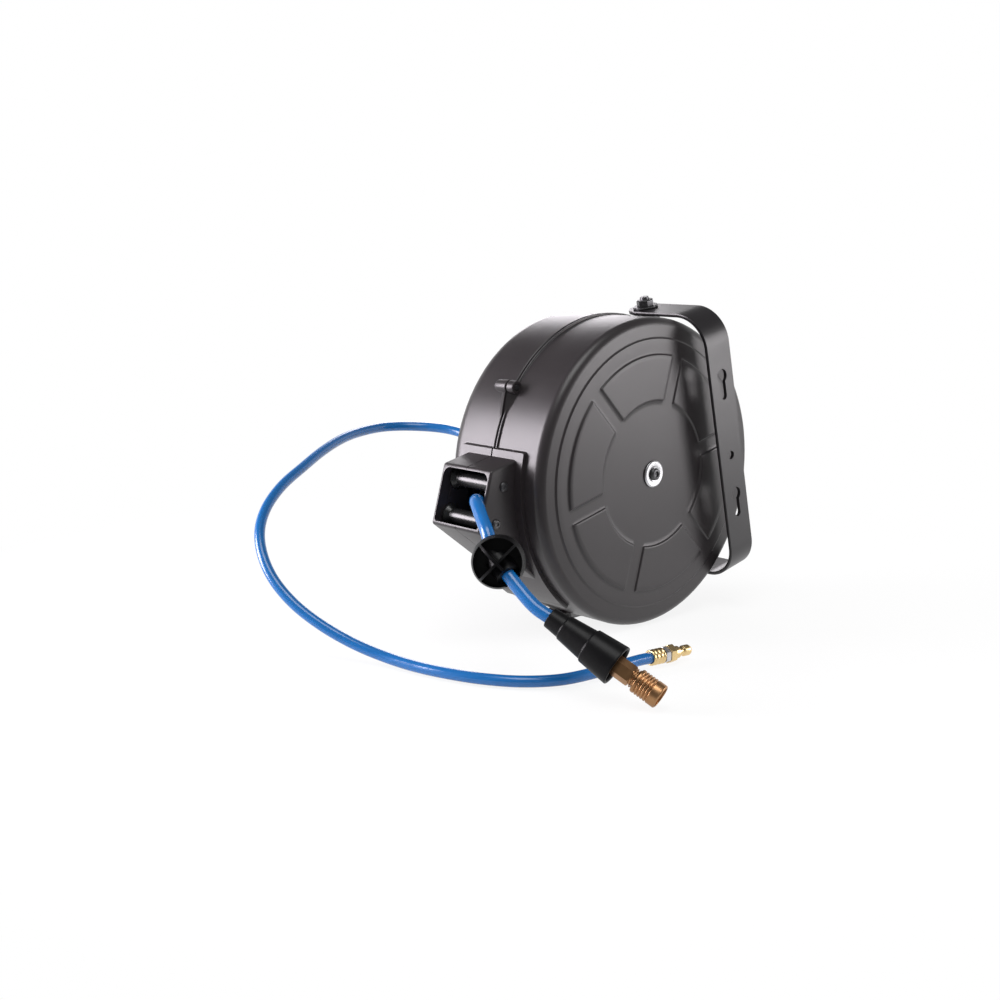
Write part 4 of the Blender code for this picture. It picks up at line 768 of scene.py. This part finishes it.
def gusset(name, angle, side, width, height):
    """A web from a boss down the wall: a ridge by the seam with one sloping flank.

    Point = (r cos p, y, r sin p); the ridge's r is R + height (1 - t)^1.3 and the flank's foot lies
    at y = width (1 - t), while p runs on from the boss.
    """
    t = np.linspace(0, 1, 16)
    polar = np.radians(angle + 1 + 12.5 * t)
    top = CASE_RADIUS + 0.2 + height * (1 - t) ** 1.3
    wide = 1.8 + width * (1 - t)
    base = np.full_like(t, CASE_RADIUS - 1)
    seam = np.full_like(t, GROOVE)
    radius = np.stack((base, top - 0.5, top, (top + base) / 2, base + 1, base, base), 1)
    off = side * np.stack((seam, seam, seam + 0.5, (seam + wide) / 2, wide, wide, seam), 1)
    points = np.stack((radius * np.cos(polar)[:, None], off, radius * np.sin(polar)[:, None]), -1)
    return finish_piece(grid_mesh(name, points, REEL, None, caps=True), name, "case_black", "reel_body")


for number, angle in enumerate(BOSS_ANGLES):
    polar = math.radians(angle)
    spot = REEL @ shift(BOSS_CIRCLE * math.cos(polar), 0, BOSS_CIRCLE * math.sin(polar))
    for word, side, reach in (("front", -1, 9.0), ("rear", 1, 15.0)):
        place = spot @ frame_of((0, 0, 0), (0, side, 0))
        turned(f"screw_boss_{number + 1}_{word}", [
            (2.7, GROOVE), (6.5, GROOVE), (6.0, reach), (2.7, reach)],
            place, "case_black", "reel_body", 0.8, 48)
        gusset(f"boss_web_{number + 1}_{word}", angle, side, reach - 2, 9.0)
    screw = turned(f"case_screw_{number + 1}", [
        (0, -9.6), (2.4, -9.6), (2.4, 15.3), (4.6, 15.3), (4.4, 17.0), (3.2, 17.9), (2.0, 17.9),
        (1.8, 16.6), (0, 16.6)],
        spot @ frame_of((0, 0, 0), (0, 1, 0)), "dark_steel", "reel_body", 0.25, 48)
    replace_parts(screw, f"seam_screw_{number + 1}")

# Rollers, pins, axle washer and bolt
for word, level in zip(("upper", "lower"), ROLLER_LEVELS):
    spot = REEL @ shift(ROLLER_X, 0, level)
    roller = turned(f"{word}_roller", [
        (3.3, -29.9), (10.5, -29.9), (10.5, -26.9), (7, -23.4), (7, 23.4), (10.5, 26.9), (10.5, 29.9),
        (3.3, 29.9)],
        spot @ frame_of((0, 0, 0), (0, 1, 0)), "nylon", f"{word}_roller", 0.8, 72)
    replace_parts(roller, f"{word}_guide_roller")
    pin = turned(f"{word}_roller_screw", [
        (0, -35.5), (3, -35.5), (3, 33.6), (4.6, 33.6), (4.4, 34.6), (3.4, 35.5), (1.9, 35.5),
        (1.7, 34.4), (0, 34.4)],
        spot @ frame_of((0, 0, 0), (0, -1, 0)), "dark_steel", "reel_body", 0.25, 64)
    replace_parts(pin, f"{word}_roller_pin")
washer = turned("axle_plate_washer", [
    (4.8, 64.3), (12.6, 64.3), (13, 64.8), (13, 65.4), (11.6, 66.3), (8.2, 66.1), (6.8, 65.4),
    (4.8, 65.4)],
    FRONT, "steel", "reel_body", 0.3)
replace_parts(washer, "axle_washer")
axle_screw = turned("axle_cap_screw", [
    (0, 49), (4.5, 49), (4.5, 66.0), (6.2, 66.0), (6.0, 67.4), (4.6, 68.9), (2.9, 69.1), (2.7, 67.4),
    (0, 67.4)],
    FRONT, "dark_steel", "reel_body", 0.3)
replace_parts(axle_screw, "axle_bolt")


def strap_blank():
    """Bent strap: a rounded bar section carried along a U, its ends narrowed to half circles.

    Point = path(s) + w(s) u x + t v n(s), w = sqrt(R^2 - (R - s)^2) within R of an end.
    """
    end = STRAP_WIDTH / 2
    reach = STRAP_DEPTH - STRAP_BEND
    level = ARM_LEVEL - STRAP_BEND
    quarter = np.linspace(0, math.pi / 2, 25)
    tip = np.column_stack((end * np.cos(np.linspace(0.06, math.pi / 2, 14)), np.full(14, ARM_LEVEL)))
    straight = np.column_stack((np.linspace(0, -reach, 12)[1:-1], np.full(10, ARM_LEVEL)))
    bend = np.column_stack((-reach - STRAP_BEND * np.sin(quarter), level + STRAP_BEND * np.cos(quarter)))
    upper = np.vstack((tip, straight, bend))
    face = np.column_stack((np.full(30, -STRAP_DEPTH), np.linspace(level, -level, 32)[1:-1]))
    lower = upper[::-1] * (1, -1)
    path = np.vstack((upper, face, lower))
    run = np.gradient(path, axis=0)
    run /= np.linalg.norm(run, axis=1)[:, None]
    normal = np.column_stack((run[:, 1], -run[:, 0]))
    past_end = np.maximum(path[:, 0], 0)
    width = np.sqrt(np.maximum(end ** 2 - past_end ** 2, 0.25))
    corner = np.array([
        (-1, -0.6), (-0.975, -1), (0.975, -1), (1, -0.6), (1, 0.6), (0.975, 1), (-0.975, 1), (-1, 0.6),
        (-1, -0.6)])
    x = width[:, None] * corner[None, :, 0]
    off = corner[None, :, 1] * STRAP_WALL / 2
    y = path[:, 0][:, None] + normal[:, 0][:, None] * off
    z = path[:, 1][:, None] + normal[:, 1][:, None] * off
    mesh = grid_mesh("swing_strap", np.stack((x, y, z), -1), BRACKET, None, caps=True)
    return finish_piece(mesh, "swing_strap")


def keyhole(level, length=20.0, head=7.2, slot=4.0):
    """Cutter for a keyhole: a round head with a narrower slot that hangs from it."""
    neck = math.degrees(math.asin(slot / head))
    line = np.vstack((arc((0, level), head, neck - 90, 270 - neck, 28),
                      arc((0, level - length), slot, 180, 360, 16)))
    return prism("keyhole", line.tolist(), STRAP_DEPTH - 8, STRAP_DEPTH + 8,
                 BRACKET @ frame_of((0, 0, 0), (0, -1, 0)))


round_hole = cylinder("strap_hole", 4.2, STRAP_DEPTH - 8, STRAP_DEPTH + 8,
                      BRACKET @ shift(0, 0, -8.7) @ frame_of((0, 0, 0), (0, -1, 0)), 40)
strap = carve(strap_blank(), [keyhole(73.0), keyhole(-50.0), round_hole])
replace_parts(adopt(strap, "strap_black", "bracket"), "bracket_strap")


def grooves(count, first, pitch, crest, root, drops):
    """Profile of a row of grooves, downwards: crest, root, root and crest, each a drop below the top."""
    into, along, out = drops
    points = []
    for number in range(count):
        top = first - pitch * number
        points += [(crest, top), (root, top - into), (root, top - along), (crest, top - out)]
    return points


# Coupler: boot, hex body, ribbed sleeve, tail, check valve and springs
boot = turned("bend_guard", [
    (6.3, -5), (9.0, -5), (10.2, 9.4), (11.2, 10.0), (14.0, 34.6), (15.4, 35.4), (17.9, 63.0),
    (17.6, 64), (16.0, 64), (15.4, 62.5), (14.2, 42), (11, 38), (11, 21), (8.4, 20), (8.4, 16),
    (6.3, 16)],
    COUPLER, "rubber", "reel_body", 0.6, 96)
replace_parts(boot, "coupler_boot")
body = turned("coupler_hex_body", [
    (5, 50.6), (9.0, 50.6), (9.2, 51.2), (9.2, 78.2), (8.4, 79.0), (7, 79.0), (7, 105.2), (6.4, 105.8),
    (4.9, 105.8), (4.6, 105.2), (4.6, 87.8), (6, 87.8), (6, 84.8), (4.6, 84.8), (4.6, 83.8),
    (3.4, 83.8), (3.4, 81.8), (5, 81.8)],
    COUPLER, "bronze", "reel_body", 0.2, 144, (9.2, 50.5, 79.1))
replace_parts(body, "coupler_body")
ribs = grooves(5, 99.0, 2.8, 10.6, 9.75, (0.5, 0.95, 1.45))
sleeve = turned("release_sleeve_ring", [
    (9.4, 107.4), (10.5, 106.6), (10.6, 106.0), *ribs, (10.6, 84.2), (9.8, 83.3), (8.9, 83.3),
    (8.9, 91.3), (7.3, 91.3), (7.3, 96.2), (8.5, 96.8), (8.5, 100.2), (7.3, 100.8), (7.3, 102.7),
    (8.6, 102.7), (8.6, 107.0)],
    COUPLER, "bronze", "release_sleeve", 0.25, 128)
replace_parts(sleeve, "coupler_sleeve")
tail = turned("coupler_tail_hex", [
    (3.5, 40.3), (9.4, 40.3), (9.6, 40.8), (9.6, 49.8), (9.0, 50.3), (4.7, 50.3), (4.7, 56.3),
    (3.5, 56.3)],
    COUPLER, "brass", "reel_body", 0.2, 96, (9.6, 40.2, 50.4))
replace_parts(tail, "coupler_tail")
valve = turned("check_valve_poppet", [
    (0, 72.5), (1.5, 72.5), (1.5, 78.5), (4.3, 78.5), (4.3, 81.5), (2.7, 81.5), (2.7, 84.9), (0, 85.5)],
    COUPLER, "brass", "valve", 0.2, 64)
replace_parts(valve, "check_valve")


def coil_spring(name, radius, wire, turns, low, high, slot):
    """A tube along a helix (r cos a, r sin a, even rise)."""
    angle = np.linspace(0, 2 * math.pi * turns, 36 * turns + 1)
    rise = np.linspace(low + wire, high - wire, len(angle))
    path = np.column_stack((radius * np.cos(angle), radius * np.sin(angle), rise))
    path = path @ COUPLER[:3, :3].T + COUPLER[:3, 3]
    spring = finish_piece(tube_mesh(name, path, wire, 14), name, slot)
    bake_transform(spring)
    return spring


sleeve_coil = coil_spring("sleeve_coil", 8.1, 0.45, 5, 79.3, 91.0, "bronze")
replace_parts(sleeve_coil, "sleeve_spring")
valve_coil = coil_spring("valve_coil", 3.5, 0.4, 4, 56.6, 78.2, "steel")
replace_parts(valve_coil, "valve_spring")

# Lead plug and inlet
crimp = grooves(3, -1.6, 4.2, 7.2, 6.5, (0.9, 1.7, 2.6))
ferrule = turned("plug_crimp", [
    (5.4, -0.2), (6.8, -0.2), (7.2, -0.7), *crimp, (7.2, -13.4), (6.8, -14), (5.4, -14)],
    PLUG, "brass", "reel_body", 0.3, 80)
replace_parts(ferrule, "plug_ferrule")
plug = turned("air_plug", [
    (2.5, 5.9), (8.2, 5.9), (8.6, 6.4), (8.6, 11.8), (8.1, 12.3), (5.6, 12.3), (5.6, 18.3), (3.8, 19.3),
    (3.8, 23.3), (5, 24.3), (5, 30.3), (4, 32.3), (2.5, 32.3)],
    PLUG, "brass", "reel_body", 0.3, 96, (8.6, 5.8, 12.4))
plug_nut = turned("plug_lock_nut", [
    (2.5, 0.3), (7.4, 0.3), (7.8, 0.8), (7.8, 5.2), (7.4, 5.7), (2.5, 5.7)],
    PLUG, "steel", "reel_body", 0.3, 96, (7.8, 0.2, 5.8))
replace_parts(plug, "lead_plug")
inlet = turned("air_inlet", [
    (3.5, 50.5), (8, 50.5), (8, 66.3), (12.6, 66.3), (13, 66.9), (13, 75.7), (12.4, 76.3), (6.5, 76.3),
    (6.5, 84.3), (3.5, 84.3)],
    REAR, "brass", "reel_body", 0.3, 96, (13, 66.2, 76.4))
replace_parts(inlet, "inlet_fitting")
nut = turned("inlet_swivel_nut", [
    (6.8, 76.6), (11.1, 76.6), (11.5, 77.2), (11.5, 90), (11.1, 90.6), (6.8, 90.6)],
    REAR, "brass", "reel_body", 0.3, 96, (11.5, 76.5, 90.7))
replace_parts(nut, "swivel_nut")
crimp = grooves(4, 111.4, 4.8, 7.2, 6.5, (1, 1.9, 2.9))
inlet_crimp = turned("inlet_crimp", [
    (5.4, 112.9), (6.8, 112.9), (7.2, 112.4), *crimp, (7.2, 91.5), (6.8, 90.9), (5.4, 90.9)],
    REAR, "brass", "reel_body", 0.3, 80)
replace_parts(inlet_crimp, "inlet_ferrule")

# Ball stop: a ball cored out in four pockets on two sides, clamped round the hose as two halves
STOP_RADIUS = 23.4
STOP_WALL = 2.4
STOP_RIB = 1.1
STOP_WEB = 2.0
STOP_TUBES = ((10.8, -2.3, 16.0), (8.2, -20.7, 4.1))
WINDOW_RADIUS = 9.0
WINDOW_REACH = 19
STOP_PLACE = FLOOR_AXLE + STOP_CENTRE
to_eye = unit(AXLE + EYE_OFFSET - STOP_PLACE)
core_axis = unit(to_eye - 0.08 * RIGHT - 0.09 * UP)
parting = unit(to_eye - along_stop * np.dot(to_eye, along_stop))


def pocket(side, quarter):
    """A quarter disc between two ribs, carried outwards from the ball's web."""
    core = frame_of(STOP_PLACE, core_axis * side, RIGHT + UP)
    reach = STOP_RADIUS - STOP_WALL
    start = math.degrees(math.asin(STOP_RIB / reach))
    line = np.vstack((arc((0, 0), reach, start, 90 - start, 14), [(STOP_RIB, STOP_RIB)]))
    turn = np.array(((0, 1), (-1, 0)))
    return prism("pocket", (line @ np.linalg.matrix_power(turn, quarter)).tolist(), STOP_WEB, 40, core)


def ball_half(name, side):
    """Half of the cored ball with its collar, bored for the hose."""
    along_hose = frame_of(STOP_PLACE, along_stop)
    window = frame_of(STOP_PLACE + along_stop * WINDOW_REACH, core_axis)
    angle = np.radians(np.linspace(0, 180, 49))
    ball = np.column_stack((STOP_RADIUS * np.sin(angle), STOP_RADIUS * np.cos(angle)))
    half = turned(name, ball, along_hose, None, None, 0, 96)
    carve(half, [pocket(face, quarter) for face in (1, -1) for quarter in range(4)])
    carve(half, [cylinder("window", WINDOW_RADIUS, -2, 40, window, 64)])
    carve(half, [cylinder("tube", *size, along_hose, 64) for size in STOP_TUBES], "UNION")
    square = [(-60, -60), (60, -60), (60, 60), (-60, 60)]
    far = prism("far_half", square, -60, SEAM, frame_of(STOP_PLACE, parting * side))
    return carve(half, [cylinder("bore", HOSE_RADIUS + 0.5, -60, 60, along_hose, 64), far])


stop_halves = [ball_half("ball_stop_half_1", 1), ball_half("ball_stop_half_2", -1)]
for number, half in enumerate(stop_halves):
    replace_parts(adopt(half, "rubber", "reel_body"), f"hose_stop_half_{number + 1}")

# Floor, world and lamps
TOWARDS_EYE = tuple(unit(BACK * (1, 1, 0)))
FLOOR_LEVEL = -0.0005
FLOOR_REACH = 6
DIMMED = 0.85


def pale_floor():
    """White to the camera and in mirrors, with a little of the object's shadow near the middle.

    In mirrors the floor darkens towards the camera, where the room is dark.
    """
    finish = Finish("pale_floor")
    finish.set(Base_Color=(0.9, 0.9, 0.9), Roughness=0.9)
    spot = finish.node("ShaderNodeTexCoord").outputs["Object"]
    away = finish.out("ShaderNodeVectorMath", "Value", {"operation": "LENGTH"}, {0: spot})
    near_eye = finish.along(spot, TOWARDS_EYE)
    glow = 1 - DIMMED * finish.ramp(near_eye, 0.15, 0.5) * (1 - finish.camera())
    white = finish.node("ShaderNodeEmission", sockets={"Color": glow, "Strength": 1.0})
    kept = 0.14 * (1 - finish.ramp(away, 0.25, 0.75))
    both = finish.node("ShaderNodeMixShader", sockets={
        0: finish.shown() * (1 - kept), 1: finish.shader.outputs[0], 2: white.outputs[0]})
    finish.feed(finish.tree.nodes["Material Output"].inputs["Surface"], both.outputs[0])
    return finish.material


floor_mesh = bpy.data.meshes.new("floor")
corners = [(FLOOR_REACH * x, FLOOR_REACH * y, FLOOR_LEVEL) for x, y in ((-1, -1), (1, -1), (1, 1), (-1, 1))]
floor_mesh.from_pydata(corners, [], [(0, 1, 2, 3)])
floor_mesh.materials.append(pale_floor())
floor = bpy.data.objects.new("floor", floor_mesh)
bpy.context.scene.collection.objects.link(floor)


def studio_world():
    """A white sweep to the camera; mirrors also show a dark ceiling and the room behind the camera."""
    world = bpy.data.worlds.new("studio")
    bpy.context.scene.world = world
    world.use_nodes = True
    sky = Nodes(world.node_tree)
    spot = sky.node("ShaderNodeTexCoord").outputs["Generated"]
    rise = sky.out("ShaderNodeSeparateXYZ", "Z", sockets={0: spot})
    facing = sky.along(spot, TOWARDS_EYE)
    dark = 1 - (1 - sky.ramp(rise, 0.28, 0.62)) * (1 - sky.ramp(facing, 0.15, 0.65))
    sweep = 1 - DIMMED * dark * (1 - sky.camera())
    shown = sky.shown()
    background = world.node_tree.nodes["Background"]
    background.inputs["Strength"].default_value = 1.0
    sky.feed(background.inputs["Color"], shown * sweep + (1 - shown) * 0.5)


studio_world()


def softbox(name, place, aim, width, height, power, colour=(1, 1, 1)):
    """A flat rectangular lamp that faces a point."""
    lamp = bpy.data.lights.new(name, "AREA")
    lamp.shape = "RECTANGLE"
    lamp.size = width
    lamp.size_y = height
    lamp.energy = power
    lamp.color = colour
    made = bpy.data.objects.new(name, lamp)
    bpy.context.scene.collection.objects.link(made)
    towards = frame_of(place, np.asarray(place) - np.asarray(aim), (0.3, 1, 0.2))
    made.matrix_world = Matrix(towards.tolist())


softbox("left_box", (-1.35, 1.15, 0.5), (0, 0, 0.15), 0.8, 1.1, 46, (1, 0.93, 1))
softbox("top_box", (-0.5, -0.5, 1.7), (0, 0, 0.15), 1.0, 1.0, 14)
softbox("front_box", (1.15, -1.3, 0.35), (0, 0, 0.12), 0.55, 1.1, 15, (1, 0.96, 0.98))
softbox("back_box", (1.2, 1.5, 0.85), (0, 0, 0.25), 0.6, 0.9, 7, (1, 0.95, 1))

view = bpy.context.scene.view_settings
view.view_transform = "Standard"

bpy.context.view_layer.update()
